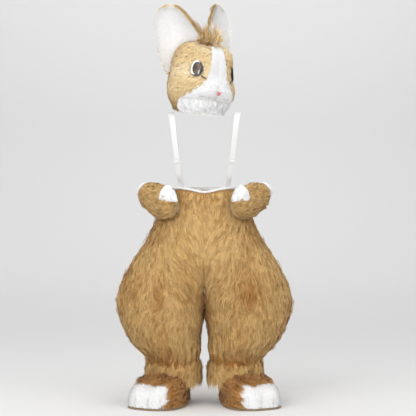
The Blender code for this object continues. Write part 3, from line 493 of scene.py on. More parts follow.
def head_reach(points):
    """Reach of the head along the way to each point: the table read between its entries."""
    azimuth = np.arctan2(points[..., 0], -points[..., 1])
    slope = np.arctan2(points[..., 2], np.hypot(points[..., 0], points[..., 1]))
    i = (azimuth - REACH_AZIMUTHS[0]) / (REACH_AZIMUTHS[1] - REACH_AZIMUTHS[0])
    j = (slope - REACH_SLOPES[0]) / (REACH_SLOPES[1] - REACH_SLOPES[0])
    i = np.clip(i, 0, len(REACH_AZIMUTHS) - 1.001)
    j = np.clip(j, 0, len(REACH_SLOPES) - 1.001)
    a, b = i.astype(int), j.astype(int)
    s, t = i - a, j - b
    low = REACHES[a, b] * (1 - s) + REACHES[a + 1, b] * s
    high = REACHES[a, b + 1] * (1 - s) + REACHES[a + 1, b + 1] * s
    return low * (1 - t) + high * t


def in_head_frame(points):
    """Back from the turned face, before the head leans, to the head's own frame."""
    cos, sin = math.cos(HEAD_TURN), math.sin(HEAD_TURN)
    x, y, z = points[..., 0], points[..., 1], points[..., 2]
    return np.stack((x * cos + y * sin, -x * sin + y * cos, z), axis=-1)


def ear_foot_line(ear, share):
    """How far up the free leaf each line of it leaves the head, and which lines do."""
    steps = np.linspace(0.0, 0.9, 91)
    line_share, line_up = grid(share, steps)
    line = in_head_frame(ear_free(ear, line_share, line_up))
    inside = np.linalg.norm(line, axis=-1) < head_reach(line) + EAR_CLEAR
    last = inside.shape[1] - 1 - np.argmax(inside[:, ::-1], axis=1)
    sewn = inside.any(axis=1)
    return np.where(sewn, steps[last] + steps[1], 0.0), sewn


EAR_SHARES = np.linspace(-1, 1, 25)
EAR_FEET = {ear: ear_foot_line(ear, EAR_SHARES) for ear in EARS}
EAR_STARTS = {
    ear: np.convolve(np.pad(foot[0], 1, mode="edge"), (0.25, 0.5, 0.25), "valid")
    for ear, foot in EAR_FEET.items()
}
EAR_SEWN = {ear: foot[1] for ear, foot in EAR_FEET.items()}


def ear_surface(ear, share, up):
    """One ear in the head's own frame, from where it leaves the head to the tip."""
    start = np.interp(share, EAR_SHARES, EAR_STARTS[ear])
    return in_head_frame(ear_free(ear, share, start + (1 - start) * up))


# Trousers, one leg at a time. Above the crotch the tubes run together at the middle.

# row: height, outer reach, inner reach (negative where the legs run together), front, back
LEG_SECTIONS = (
    (-0.362, 0.172, -0.105, 0.118, 0.112),
    (-0.400, 0.184, -0.106, 0.126, 0.123),
    (-0.475, 0.216, -0.112, 0.140, 0.146),
    (-0.552, 0.244, -0.110, 0.152, 0.165),
    (-0.610, 0.273, -0.100, 0.162, 0.176),
    (-0.686, 0.323, -0.080, 0.175, 0.186),
    (-0.763, 0.369, -0.052, 0.186, 0.191),
    (-0.840, 0.402, -0.022, 0.193, 0.191),
    (-0.885, 0.413, -0.008, 0.195, 0.191),
    (-0.920, 0.415, 0.0004, 0.195, 0.190),
    (-0.955, 0.409, 0.003, 0.192, 0.187),
    (-0.994, 0.396, 0.007, 0.188, 0.183),
    (-1.032, 0.381, 0.012, 0.181, 0.177),
    (-1.070, 0.361, 0.017, 0.170, 0.166),
    (-1.109, 0.333, 0.019, 0.155, 0.152),
    (-1.128, 0.313, 0.020, 0.146, 0.143),
    (-1.147, 0.291, 0.024, 0.135, 0.132),
    (-1.171, 0.268, 0.030, 0.118, 0.116),
)
WAIST = -0.366
WAIST_DIP = 0.020  # the front of the waist hangs this much lower
LEG_HEM = -1.171
CROTCH = -0.92
MERGED = -0.55  # from here up the front runs flat from one leg to the other

WAIST_BAND = 0.011
BAND_OVER = 0.0002  # the band starts this far over the waist edge
PUCKER = 0.0006
PUCKERS = 90
GATHERS = 11
GATHER_DEPTH = 0.006


def leg_bow(angle, height):
    """Share of the full depth round a leg. The valley between the legs fills near the waist."""
    merged = np.clip((height - CROTCH) / (MERGED - CROTCH), 0, 1)
    merged = merged * merged * (3 - 2 * merged) * (angle > math.pi / 2)
    return np.sin(angle) + (1 - np.sin(angle)) * merged


def leg_point(turn, height, front):
    """Point of the left leg. `turn` runs from 0 at the side seam to 1 at the middle, and hair may
    lie a little way past the middle."""
    outer = eased(LEG_SECTIONS, 1, height)
    inner = eased(LEG_SECTIONS, 2, height)
    depth = np.where(front, eased(LEG_SECTIONS, 3, height), eased(LEG_SECTIONS, 4, height))
    centre = (outer + inner) / 2
    half = (outer - inner) / 2
    last = np.arccos(np.clip(-(centre - 0.0002) / half, -1, 1))
    angle = turn * last
    gather = GATHER_DEPTH * np.clip((-1.075 - height) / 0.06, 0, 1) * np.cos(2 * GATHERS * angle)
    x = centre + (half + gather) * np.cos(angle)
    y = -(depth + gather) * leg_bow(angle, height)
    return np.stack((x, np.where(front, y, -y), height + 0 * turn), axis=-1)


def waist_drop(x):
    """How much lower the waist edge is than at the sides."""
    return WAIST_DIP * np.exp(-((x / 0.07) ** 2))


CUFF_TOP = -1.1711
CUFF_HEM = -1.2520
# row: height, half width, half depth
CUFF_SECTIONS = (
    (CUFF_HEM, 0.131, 0.122),
    (-1.225, 0.130, 0.121),
    (-1.195, 0.128, 0.118),
    (CUFF_TOP, 0.121, 0.116),
)
CUFF_CENTRE = 0.148


# Braces.

# row: along the strap, sideways, forward (minus) or back, height, half width
STRAP_PATH = (
    (0.00, 0.112, -0.081, -0.390, 0.0115),
    (0.05, 0.113, -0.083, -0.352, 0.0115),
    (0.15, 0.121, -0.108, -0.300, 0.0120),
    (0.22, 0.128, -0.124, -0.2376, 0.0125),
    (0.30, 0.136, -0.131, -0.170, 0.0130),
    (0.37, 0.143, -0.128, -0.110, 0.0133),
    (0.43, 0.150, -0.108, -0.050, 0.0135),
    (0.47, 0.157, -0.072, -0.014, 0.0135),
    (0.505, 0.161, -0.030, 0.000, 0.0135),
    (0.54, 0.161, 0.015, -0.002, 0.0135),
    (0.58, 0.158, 0.058, -0.022, 0.0135),
    (0.63, 0.150, 0.092, -0.070, 0.0133),
    (0.70, 0.141, 0.112, -0.140, 0.0130),
    (0.80, 0.128, 0.112, -0.225, 0.0125),
    (0.95, 0.111, 0.082, -0.350, 0.0120),
    (1.00, 0.108, 0.077, -0.390, 0.0115),
)
SLIDER_AT = -0.2376
SLOT_HALF = 0.0040
SLOT_CLEAR = 0.0008  # between the webbing and the ends of the slots
WEBBING_HALF = 0.0009  # half its thickness
STRAP_BOW = 0.0004  # the middle of the webbing bulges by this much
SLIDER_BAR = 0.0040
WEAVE = 0.0050  # how far the webbing comes forward over the middle bar
STRAP_SLANT = 0.45  # how far the webbing turns with the chest and the back
CHEST = np.array([0.0, 0.0, -0.15])


def strap_frame(at):
    """Middle line of the left strap, its width direction and the direction away from the chest."""
    line, forward = path_line(STRAP_PATH, at), path_way(STRAP_PATH, at, 0.004)
    slant = np.clip(-line[:, 1] / 0.09, -1, 1) * STRAP_SLANT
    side = stack(1.0, slant, 0.0)
    side = unit(side - forward * dot(side, forward)[..., None])
    out = unit(np.cross(side, forward))
    return line, side, np.where(dot(out, line - CHEST)[..., None] < 0, -out, out)


# Mitts. A rounded bag along a bent line from the wrist to the finger end.

# row: along the hand, sideways, forward (minus), height, half height, half thickness
MITT_PATH = (
    (0.00, 0.2900, -0.0249, -0.3730, 0.040, 0.034),
    (0.12, 0.2710, -0.0429, -0.3880, 0.055, 0.040),
    (0.30, 0.2420, -0.0699, -0.4060, 0.068, 0.044),
    (0.50, 0.2130, -0.1019, -0.4220, 0.075, 0.045),
    (0.68, 0.1840, -0.1349, -0.4330, 0.073, 0.043),
    (0.82, 0.1620, -0.1559, -0.4350, 0.062, 0.038),
    (0.92, 0.1470, -0.1679, -0.4330, 0.043, 0.028),
    (0.98, 0.1385, -0.1749, -0.4310, 0.019, 0.013),
    (1.00, 0.1355, -0.1769, -0.4305, 0.000, 0.000),
)
TIP_FROM = -0.125  # the white tip reaches from behind the top seam
TIP_TO = 0.21  # to the front of the hand


def mitt_frame(at):
    """Middle line of the left mitt, its way up and its way to the front."""
    line, forward = path_line(MITT_PATH, at), path_way(MITT_PATH, at, 0.02)
    up = unit(UP - forward * dot(UP, forward)[..., None])
    front = np.cross(up, forward)
    front = np.where(front[..., 1:2] > 0, -front, front)
    return line, up, front


def mitt_point(turn, at):
    """Left mitt. `turn` is 0 at the top seam, a quarter at the back of the hand and half at the
    bottom."""
    line, up, front = mitt_frame(np.clip(at, 0, 1))
    high = eased(MITT_PATH, 4, at)[..., None]
    thick = eased(MITT_PATH, 5, at)[..., None]
    angle = (turn * 2 * math.pi)[..., None]
    return line + up * np.cos(angle) * high + front * np.sin(angle) * thick


# Foot paws. `turn` is 0 straight ahead; `down` runs from the ankle opening to the sole.

# row: turn from straight ahead in degrees, reach of the sole outline
SOLE_OUTLINE = (
    (0.0, 0.256),
    (15.0, 0.256),
    (31.0, 0.230),
    (45.0, 0.182),
    (60.0, 0.138),
    (90.0, 0.096),
    (135.0, 0.092),
    (180.0, 0.098),
)
FOOT_TURN = math.radians(28)
ANKLE = np.array([0.164, -0.006])
ANKLE_HALF_WIDTH = 0.082
ANKLE_HALF_LENGTH = 0.084
SOLE_THICK = 0.009
UPPER_FOOT = 0.0093  # over the floor
CAP_INSIDE = math.radians(30)  # the white cap, from straight ahead to the inside of the foot
CAP_OUTSIDE = math.radians(75)
CAP_START = 0.33  # share of the way from ankle opening to sole
TOE_SPREAD = math.radians(29)
TOE_DEPTH = 0.004
TOE_FOLDS = np.array([0.200, 0.262, 0.320])  # how far from the middle the folds of the toes lie
RIM_HEIGHT = 0.152
RIM_SLOPE = 0.017  # the ankle opening is this much lower in front
SIDE_SWELL = 0.006
UPPER_BULGE = 0.75


def sole_reach(turn):
    """The sole's outline as a distance from the ankle, the same on both sides."""
    return eased(SOLE_OUTLINE, 1, np.degrees(np.abs((turn + math.pi) % (2 * math.pi) - math.pi)))


def foot_point(turn, down):
    """Left upper. `down` runs from 0 at the ankle opening to 1 at the sole."""
    turn = np.arctan2(np.sin(turn), np.cos(turn))
    cos, sin = np.cos(turn), np.sin(turn)
    rim = (ANKLE_HALF_LENGTH * ANKLE_HALF_WIDTH
           / np.hypot(ANKLE_HALF_WIDTH * cos, ANKLE_HALF_LENGTH * sin))
    rim_height = RIM_HEIGHT - RIM_SLOPE * cos
    quarter = np.clip(down, 0, 1) * math.pi / 2
    toes = np.cos(turn / TOE_SPREAD * 2 * math.pi + math.pi) * np.exp(-((turn / 0.75) ** 4))
    side = np.sin(quarter * 2)
    reach = (rim + (sole_reach(turn) - rim) * np.sin(quarter) + TOE_DEPTH * toes * side
             + SIDE_SWELL * side**2)
    height = UPPER_FOOT + (rim_height - UPPER_FOOT) * np.maximum(np.cos(quarter), 0) ** UPPER_BULGE
    return np.stack((reach * sin, -reach * cos, height + FLOOR), axis=-1)


def foot_to_place(points):
    """From the foot's own frame to the left foot, toes turned out."""
    cos, sin = math.cos(FOOT_TURN), math.sin(FOOT_TURN)
    x, y, z = points[..., 0], points[..., 1], points[..., 2]
    return np.stack((x * cos - y * sin + ANKLE[0], x * sin + y * cos + ANKLE[1], z), axis=-1)


# Finishes


class Finish:
    """A material and its node tree, whose Principled node gets plain values on its sockets."""

    def __init__(self, name, roughness, **values):
        self.material = bpy.data.materials.new(name)
        self.material.use_nodes = True
        self.tree = self.material.node_tree
        self.shader = self.tree.nodes["Principled BSDF"]
        for socket, value in {"Roughness": roughness, **values}.items():
            self.shader.inputs[socket.replace("_", " ")].default_value = value

    def node(self, kind, links=(), **inputs):
        """A node with values on its sockets, and outputs of other nodes linked to some of them."""
        node = self.tree.nodes.new("ShaderNode" + kind)
        for socket, value in inputs.items():
            node.inputs[socket].default_value = value
        for socket, output in dict(links).items():
            self.tree.links.new(output, node.inputs[socket])
        return node

    def ramp(self, value, *stops):
        """Colour ramp over a value, as its colour output."""
        ramp = self.node("ValToRGB", {"Fac": value})
        while len(ramp.color_ramp.elements) < len(stops):
            ramp.color_ramp.elements.new(0.5)
        for element, (at, colour) in zip(ramp.color_ramp.elements, stops):
            element.position = at
            element.color = (*colour, 1.0)
        return ramp.outputs["Color"]

    def multiply(self, first, second):
        """Product of two colours."""
        mix = self.tree.nodes.new("ShaderNodeMix")
        mix.data_type = "RGBA"
        mix.blend_type = "MULTIPLY"
        mix.inputs["Factor"].default_value = 1.0
        colours = [socket for socket in mix.inputs if socket.type == "RGBA"]
        self.tree.links.new(first, colours[0])
        self.tree.links.new(second, colours[1])
        return next(socket for socket in mix.outputs if socket.type == "RGBA")

    def noise(self, scale, detail=3.0):
        """Noise over object coordinates."""
        place = self.node("TexCoord").outputs["Object"]
        return self.node("TexNoise", {"Vector": place}, Scale=scale, Detail=detail,
                         Roughness=0.5).outputs["Fac"]

    def attribute(self, name, output):
        """What a mesh attribute holds, as its colour or its value."""
        node = self.node("Attribute")
        node.attribute_name = name
        return node.outputs[output]

    def split(self, colour):
        """The three channels of a colour."""
        return self.node("SeparateColor", {"Color": colour}).outputs

    def mottle(self, colour, scale, low, shade):
        """Base colour that noise takes down to a share `shade` of itself."""
        dark = tuple(part * shade for part in colour)
        return self.paint(self.ramp(self.noise(scale), (low, dark), (1 - low, colour)))

    def paint(self, colour):
        """Links the base colour, and gives the finished material."""
        self.tree.links.new(colour, self.shader.inputs["Base Color"])
        return self.material

    def relief(self, height, strength, distance):
        """Links a bump that follows `height`."""
        bump = self.node("Bump", {"Height": height}, Strength=strength, Distance=distance)
        self.tree.links.new(bump.outputs["Normal"], self.shader.inputs["Normal"])


PLAIN = (1.0, 1.0, 1.0)
BLACK = (0.012, 0.010, 0.009)


def pile_material(name, root, base, tip, dark=(0.70, 0.57, 0.42), light=(1.22, 1.20, 1.16),
                  dark_tone_and_shade=(0.66, 0.46, 0.28), light_tone_and_highlight=(1.12, 1.16, 1.24)):
    """Fur: root to tip along each blade, a hue for each lock, and a tone by place. Darker roots and
    lighter tips are partly painted shade deep in the pile and a painted highlight on the tips; the
    tone by place holds painted shade and painted highlight besides partings and the fur's own
    tones.
    """
    made = Finish(name, 0.75, Base_Color=(*base, 1.0), Specular_IOR_Level=0.2, Sheen_Weight=0.1,
                  Sheen_Roughness=0.5)
    pile = made.split(made.attribute("pile", "Color"))
    # Darker roots and lighter tips: partly the fur's own colour, partly painted shade deep in the
    # pile and a painted highlight on the tips.
    length = made.ramp(pile["Green"], (0.0, root), (0.24, base), (1.0, tip))
    lock = made.ramp(pile["Red"], (0.0, dark), (0.5, PLAIN), (1.0, light))
    # Tone by place. Low values darken: the fur's own darker tones, and painted shade in folds,
    # between the legs, under the puff and under the head. High values lighten: the fur's own
    # lighter tones such as the cream ear rims, and a painted highlight on the belly.
    tone_and_shade_ramp = made.ramp(pile["Blue"], (0.0, dark_tone_and_shade), (0.5, PLAIN), (1.0, light_tone_and_highlight))
    return made.paint(made.multiply(made.multiply(length, lock), tone_and_shade_ramp))


def cloth_material(name, colour, fine=900.0):
    """Plain backing or felt: a faint mottle in the colour and a fine bump."""
    made = Finish(name, 0.9, Specular_IOR_Level=0.2)
    made.relief(made.noise(fine, detail=2.0), 0.25, 0.001)
    return made.mottle(colour, 60.0, 0.3, 0.85)


def webbing_material(name, colour):
    """Woven elastic: lengthwise ribs from the strap's own map, with a fine cross weave."""
    made = Finish(name, 0.7, Specular_IOR_Level=0.3)
    weave = made.node("UVMap")
    weave.uv_map = "weave"
    ribs, picks = (made.node("TexWave", {"Vector": weave.outputs["UV"]}, Scale=scale)
                   for scale in (3.0, 240.0))
    ribs.bands_direction, picks.bands_direction = "X", "Y"
    both = made.node("Math", {0: ribs.outputs["Fac"], 1: picks.outputs["Fac"]})
    made.relief(both.outputs["Value"], 0.35, 0.0006)
    dark = tuple(part * 0.78 for part in colour)
    return made.paint(made.ramp(ribs.outputs["Fac"], (0.0, dark), (0.6, colour)))


def plastic_material(name, colour, roughness, coat=0.0):
    """Moulded plastic with a faint mottle in its colour."""
    made = Finish(name, roughness, Coat_Weight=coat, Coat_Roughness=0.05)
    return made.mottle(colour, 120.0, 0.2, 0.93)


def outlined_material(name, colour, line):
    """Gloss paint with a dark outline where the dome's own rim value passes its limit."""
    made = Finish(name, 0.3, Coat_Weight=0.3, Coat_Roughness=0.08)
    return made.paint(made.ramp(made.attribute("rim", "Fac"),
                                (0.0, colour), (0.86, colour), (0.89, line)))


def glitter_material(name, dark, gold):
    """Dark gloss with gold flakes: small cells whose random value passes a limit. A dark pupil
    and a dark edge follow the dome's own rim value."""
    made = Finish(name, 0.45, Specular_IOR_Level=0.2, Coat_Weight=1.0, Coat_Roughness=0.03)
    place = made.node("TexCoord").outputs["Object"]
    cells = made.split(made.node("TexVoronoi", {"Vector": place}, Scale=900.0).outputs["Color"])
    flakes = made.ramp(cells["Red"], (0.0, dark), (0.80, dark), (0.95, gold))
    rings = ((0.0, (0.25,) * 3), (0.3, (0.35,) * 3), (0.45, PLAIN), (0.76, PLAIN),
             (0.84, (0.05,) * 3))
    return made.paint(made.multiply(flakes, made.ramp(made.attribute("rim", "Fac"), *rings)))


# Root colours are darker and tip colours lighter than the base: partly the furs' own colour, partly
# painted shade deep in the pile and a painted highlight on the tips. The grey roots of the white
# fur are painted shade.
TAN = dict(root=(0.34, 0.170, 0.050), base=(0.56, 0.350, 0.130), tip=(0.70, 0.49, 0.225))
HEAD_TAN = dict(root=(0.72, 0.53, 0.27), base=(0.82, 0.63, 0.335), tip=(0.88, 0.73, 0.45),
                dark=(0.90, 0.84, 0.75), light=(1.05, 1.05, 1.05), dark_tone_and_shade=(0.48, 0.33, 0.20),
                light_tone_and_highlight=(1.13, 1.34, 2.1))
PALM_TAN = dict(root=(0.42, 0.26, 0.11), base=(0.66, 0.47, 0.23), tip=(0.78, 0.60, 0.34))
RUSSET = dict(root=(0.10, 0.036, 0.008), base=(0.33, 0.140, 0.034), tip=(0.58, 0.33, 0.12))
WHITE = dict(root=(0.84, 0.83, 0.82), base=(0.92, 0.92, 0.92), tip=(0.95, 0.95, 0.955),
             dark=(0.98, 0.975, 0.97), light=(1.01, 1.01, 1.01), dark_tone_and_shade=(0.60, 0.585, 0.57),
             light_tone_and_highlight=(1.02, 1.02, 1.02))


def make_finishes():
    """Every material of the costume by its name."""
    return {
        "tan_pile": pile_material("tan_pile", **TAN),
        "head_pile": pile_material("head_pile", **HEAD_TAN),
        "palm_pile": pile_material("palm_pile", **PALM_TAN),
        "russet_pile": pile_material("russet_pile", **RUSSET),
        "white_pile": pile_material("white_pile", **WHITE),
        "tan_backing": cloth_material("tan_backing", (0.44, 0.26, 0.095)),
        "head_backing": cloth_material("head_backing", (0.76, 0.57, 0.30)),
        "russet_backing": cloth_material("russet_backing", (0.20, 0.085, 0.025)),
        "white_backing": cloth_material("white_backing", (0.90, 0.89, 0.88)),
        "webbing": webbing_material("webbing", (0.84, 0.84, 0.83)),
        "binding": cloth_material("binding", (0.84, 0.83, 0.81), fine=1400.0),
        "buckle_plastic": plastic_material("buckle_plastic", (0.78, 0.78, 0.78), 0.35),
        "eye_white": outlined_material("eye_white_gloss", (0.90, 0.89, 0.87), BLACK),
        "iris": glitter_material("iris_glitter", (0.035, 0.016, 0.006), (0.42, 0.25, 0.07)),
        "rim_black": plastic_material("rim_black", BLACK, 0.30, coat=0.5),
        "nose_pink": cloth_material("nose_pink", (0.80, 0.22, 0.24), fine=2500.0),
        "sole_cloth": cloth_material("sole_cloth", (0.30, 0.21, 0.13)),
    }


# Dressing


def place(obj, node, slot):
    """Puts a piece on the body, in place of its solid if it has one; `slot` is not used."""
    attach(obj, "root")
    if node:
        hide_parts(node)
    return obj


def area_of(obj):
    """Area of the outer side of a closed wall: half of all its faces."""
    size = np.zeros(len(obj.data.polygons))
    obj.data.polygons.foreach_get("area", size)
    return size.sum() / 2


# fur: backing, pile and slot
FURS = {
    "tan": ("tan_backing", "tan_pile", "tan_fur"),
    "palm": ("tan_backing", "palm_pile", "light_tan_fur"),
    "head": ("head_backing", "head_pile", "tan_fur"),
    "russet": ("russet_backing", "russet_pile", "russet_fur"),
    "white": ("white_backing", "white_pile", "white_fur"),
}
CLOSE = dict(lock=0.004, yaw=14, roll=8, tip_lift=0.85, ruffle=0.2)  # lying, even pile


def dress(node, surface, kind, flat, held, cells, wall, blades, per_lock, length, width, lift, flow,
          ring=False, riders=(), **more):
    """One cut piece of fur cloth: backing as a sheet with its pile riding on it. `wall` is how far
    the cloth lies under the solid's face, and its thickness."""
    backing, pile, slot = FURS[kind]
    cloth = skin(node + "_cloth", surface, cells, wall, FINISH[backing], ring)
    place(cloth, node, slot)
    count, widen = ((blades, 1.0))
    hair = fur(node + "_pile", surface, FINISH[pile], count, per_lock, length, width * widen, lift,
               wall[0], flow, **more)
    place(hair, None, slot)
    area = area_of(cloth)


def waves(root, scale, seed):
    """Smooth noise from a few sines of place, between 0 and 1."""
    way = np.random.default_rng(seed).normal(0, 1, (6, 3))
    start = np.random.default_rng(seed + 1).uniform(0, 6.28, 6)
    return 0.5 + 0.5 * np.tanh(np.sin(root @ way.T * scale + start).mean(axis=-1) * 1.6)


# Trousers


def trouser_surface(front, side):
    """One panel. The upper edge of a front dips to the middle and eases out below it."""
    def point(turn, height):
        x = leg_point(turn, height, front)[..., 0]
        drop = waist_drop(x) * np.clip((height + 0.480) / 0.114, 0, 1) ** 2 if front else 0.0
        return leg_point(turn, height - drop, front)

    return Surface(point, (0.0, 1.0), (WAIST, LEG_HEM), (0.15, 0.0, -0.8), side)


def trouser_flow(root, normal):
    """Down, fanned out at the sides and drawn to the middle above the crotch."""
    x, z = np.abs(root[..., 0]), root[..., 2]
    fan = 0.34 * np.clip((x - 0.15) / 0.2, 0, 1.2) * np.clip((z + 1.12) / 0.12, -0.6, 1)
    vee = 0.55 * np.exp(-(((x - 0.075) / 0.08) ** 2))
    vee *= np.clip((z + 1.0) / 0.2, 0, 1) * np.clip((-0.42 - z) / 0.12, 0, 1)
    vee *= np.clip(x / 0.05, 0, 1)
    drift = 0.22 * (waves(root, 9.0, 5) - 0.5) + 0.45 * (waves(root, 26.0, 6) - 0.5)
    return stack(np.sign(root[..., 0]) * (fan - vee) + drift, 0.0, -1.0)


def trouser_tone_and_shade(root):
    """Combed swaths of tone, with orange partings between them darkened as painted shade, painted
    shade in the folds of the gather and between the legs, and a painted highlight on the crown of
    the belly.
    """
    x, z = np.abs(root[..., 0]), root[..., 2]
    tone = 0.5 + 0.55 * (waves(root * np.array([2.2, 1.0, 0.8]), 16.0, 11) - 0.5)
    # Painted shade in the folds of the gather.
    gather_shade = np.exp(-(((z + 1.155) / 0.020) ** 2))
    tone -= 0.45 * gather_shade
    # Painted shade down the middle, between the legs.
    tone -= 0.20 * np.exp(-((x / 0.030) ** 2)) * np.clip((-0.80 - z) / 0.1, 0, 1)
    # Orange partings on each leg, darkened as painted shade.
    tone -= 0.40 * np.exp(-(((x - 0.215) / 0.028) ** 2)) * np.exp(-(((z + 0.85) / 0.07) ** 2))
    # Painted highlight on the crown of the belly.
    tone += 0.22 * np.exp(-((x / 0.12) ** 2)) * np.exp(-(((z + 0.58) / 0.12) ** 2))
    return np.clip(tone, 0, 1)


def dress_trousers(length):
    """Four panels of long fur, short at the waist and low between the legs."""
    def longer(u, v, root):
        inner = np.clip((0.085 - np.abs(root[:, 0])) / 0.05, 0, 1)
        inner = inner * np.clip((-0.93 - v) / 0.06, 0, 1)
        return 1.0 - 0.62 * np.clip((v + 0.45) / 0.08, 0, 1) - 0.45 * inner

    for front, name in ((True, "front"), (False, "back")):
        for side, hand in SIDES:
            dress(f"trouser_{name}_{hand}", trouser_surface(front, side), "tan", (0.66, 0.86),
                  "gathered", (41, 41), (0.006, 0.002), 44000, 12, length, 0.0017, 0.0112,
                  trouser_flow, lock=0.0062, gather=0.5, yaw=9, tone=trouser_tone_and_shade, long=longer,
                  ruffle=0.8)


def dress_cuffs(length):
    """An oval tube under each gather, its hair combed down and a little outwards."""
    def point(u, v):
        z = CUFF_TOP + (CUFF_HEM - CUFF_TOP) * v
        return stack(CUFF_CENTRE + eased(CUFF_SECTIONS, 1, z) * np.cos(2 * math.pi * u),
                     eased(CUFF_SECTIONS, 2, z) * np.sin(2 * math.pi * u), z)

    def flow(root, normal):
        return stack(normal[..., 0] * 0.3, normal[..., 1] * 0.3, -1.0)

    def tone(root):
        # Random tone, lighter towards the hem, so the top under the overhang of the puff stays
        # darker as painted shade.
        return 0.32 + 0.4 * waves(root, 22.0, 31) + 3.0 * np.clip(-1.20 - root[..., 2], 0, 0.06)

    for side, hand in SIDES:
        surface = Surface(point, (0.0, 1.0), (0.0, 1.0), (CUFF_CENTRE, 0.0, -1.2), side)
        dress(f"cuff_{hand}", surface, "tan", (0.82, 0.09), "hung", (49, 7), (0.006, 0.002), 11000,
              12, length, 0.0018, 0.0110, flow, ring=True, lock=0.0062, tone=tone)


# Head


def from_turned(points):
    """Back from the worn pose to the head's own frame."""
    cos, sin = math.cos(HEAD_TURN), math.sin(HEAD_TURN)
    across, level = math.cos(HEAD_ROLL), math.sin(HEAD_ROLL)
    p = points - HEAD_CENTRE
    x, z = p[..., 0] * across - p[..., 2] * level, p[..., 0] * level + p[..., 2] * across
    y = p[..., 1]
    return stack(x * cos + y * sin, -x * sin + y * cos, z)


def hung(points, up):
    """Below the hem the sheet goes on straight down, so that hair hangs past it."""
    return points + np.minimum(up, 0)[..., None] * UP * HEAD_SPAN


def head_way(way):
    """A direction of the head's own frame in the worn pose."""
    return turned(way) - HEAD_CENTRE


def hood_surface(side):
    """Half of the head from the edge of the blaze round to the middle of the back."""
    def point(share, up):
        front = np.where(up > BLAZE_TOP, 0.0, blaze_edge(up)) + 0.002
        azimuth = front + (math.pi - front) * share
        return turned(mirrored(hung(head_point(azimuth, up), up), side))

    return Surface(point, (0.0, 1.0), (0.0, 0.985), HEAD_CENTRE)


def hood_flow(root, normal):
    """Back over the crown, back and down over the cheeks, down at the nape."""
    p = from_turned(root)
    behind = np.clip((p[..., 1] + 0.02) / 0.14, 0, 1)
    crown = np.clip((p[..., 2] - 0.06) / 0.06, 0, 1)
    back = 1.0 - 0.75 * behind * (1 - crown)
    down = (-0.75 - 0.6 * behind) * (1 - crown)
    drift = 0.35 * (waves(root, 14.0, 41) - 0.5)
    return head_way(stack(0.15 * np.sign(p[..., 0]) + drift, back, down))


def crown_tufts(length):
    """Standing tufts of tan and brown between the ears."""
    def point(azimuth, up):
        return turned(head_point(azimuth, up))

    def flow(root, normal):
        return head_way(stack(0.2 * (waves(root, 60.0, 97) - 0.5), 0.25, 1.0))

    def tone(root):
        return 0.55 * waves(root, 110.0, 95)

    surface = Surface(point, (-0.62, 0.0), (0.885, 0.975), HEAD_CENTRE)
    tufts = fur("crown_tufts", surface, FINISH["head_pile"], 2600, 14, length * 0.5, 0.0034,
                length * 0.45, 0.004, flow, lock=0.009, gather=0.5, yaw=40, tip_lift=1.7,
                ruffle=0.5, tone=tone)
    return place(tufts, None, "tan_fur")


def dress_hood(length, crown_length):
    """Both halves of the hood, and the tufts."""
    def tone(root):
        p = from_turned(root)
        # Random tone, and painted shade darkening the lower head towards the hem.
        return np.clip(0.55 + 0.45 * (waves(root, 20.0, 47) - 0.5)
                       - 0.35 * np.clip((-0.10 - p[..., 2]) / 0.06, 0, 1), 0, 1)

    def clear_of_eye(u, v, root):
        """No hair on the ellipse of the eye and on the strip of the tear line."""
        p = from_turned(root)
        hand = "left" if p[:, 0].mean() > 0 else "right"
        ahead = EYE_AZIMUTH[hand] - np.abs(np.arctan2(p[:, 0], -p[:, 1]))
        across = ahead * HEAD_RADIUS / EYE_SIZE[0]
        above = (v - EYE_UP) * HEAD_SPAN / EYE_SIZE[1]
        tear = (v - EYE_UP + 0.1 + 0.27 * (ahead - 0.172)) * HEAD_SPAN
        on_tear = (np.abs(tear) < 0.006) & (ahead > 0.13) & (ahead < 0.37)
        return np.where((across**2 + above**2 < 1.15) | on_tear, 0.0, 1.0)

    def at_hem(u, v, root):
        """Longer at the hem under the cheeks, and short at the nape."""
        behind = np.clip(from_turned(root)[:, 1] / 0.05, 0, 1)
        return 1.0 + (0.3 - 0.8 * behind) * np.clip((0.12 - v) / 0.12, 0, 1)

    tufts = crown_tufts(crown_length)
    for side, hand in SIDES:
        dress(f"hood_{hand}", hood_surface(side), "head", (0.44, 0.36), "stretched", (37, 33),
              (0.006, 0.002), 26000, 11, length, 0.0019, 0.0068, hood_flow, lock=0.005, tone=tone,
              roll=9, tip_lift=0.75, ruffle=0.4, long=at_hem, keep=clear_of_eye,
              riders=[tufts] if hand == "right" else [])


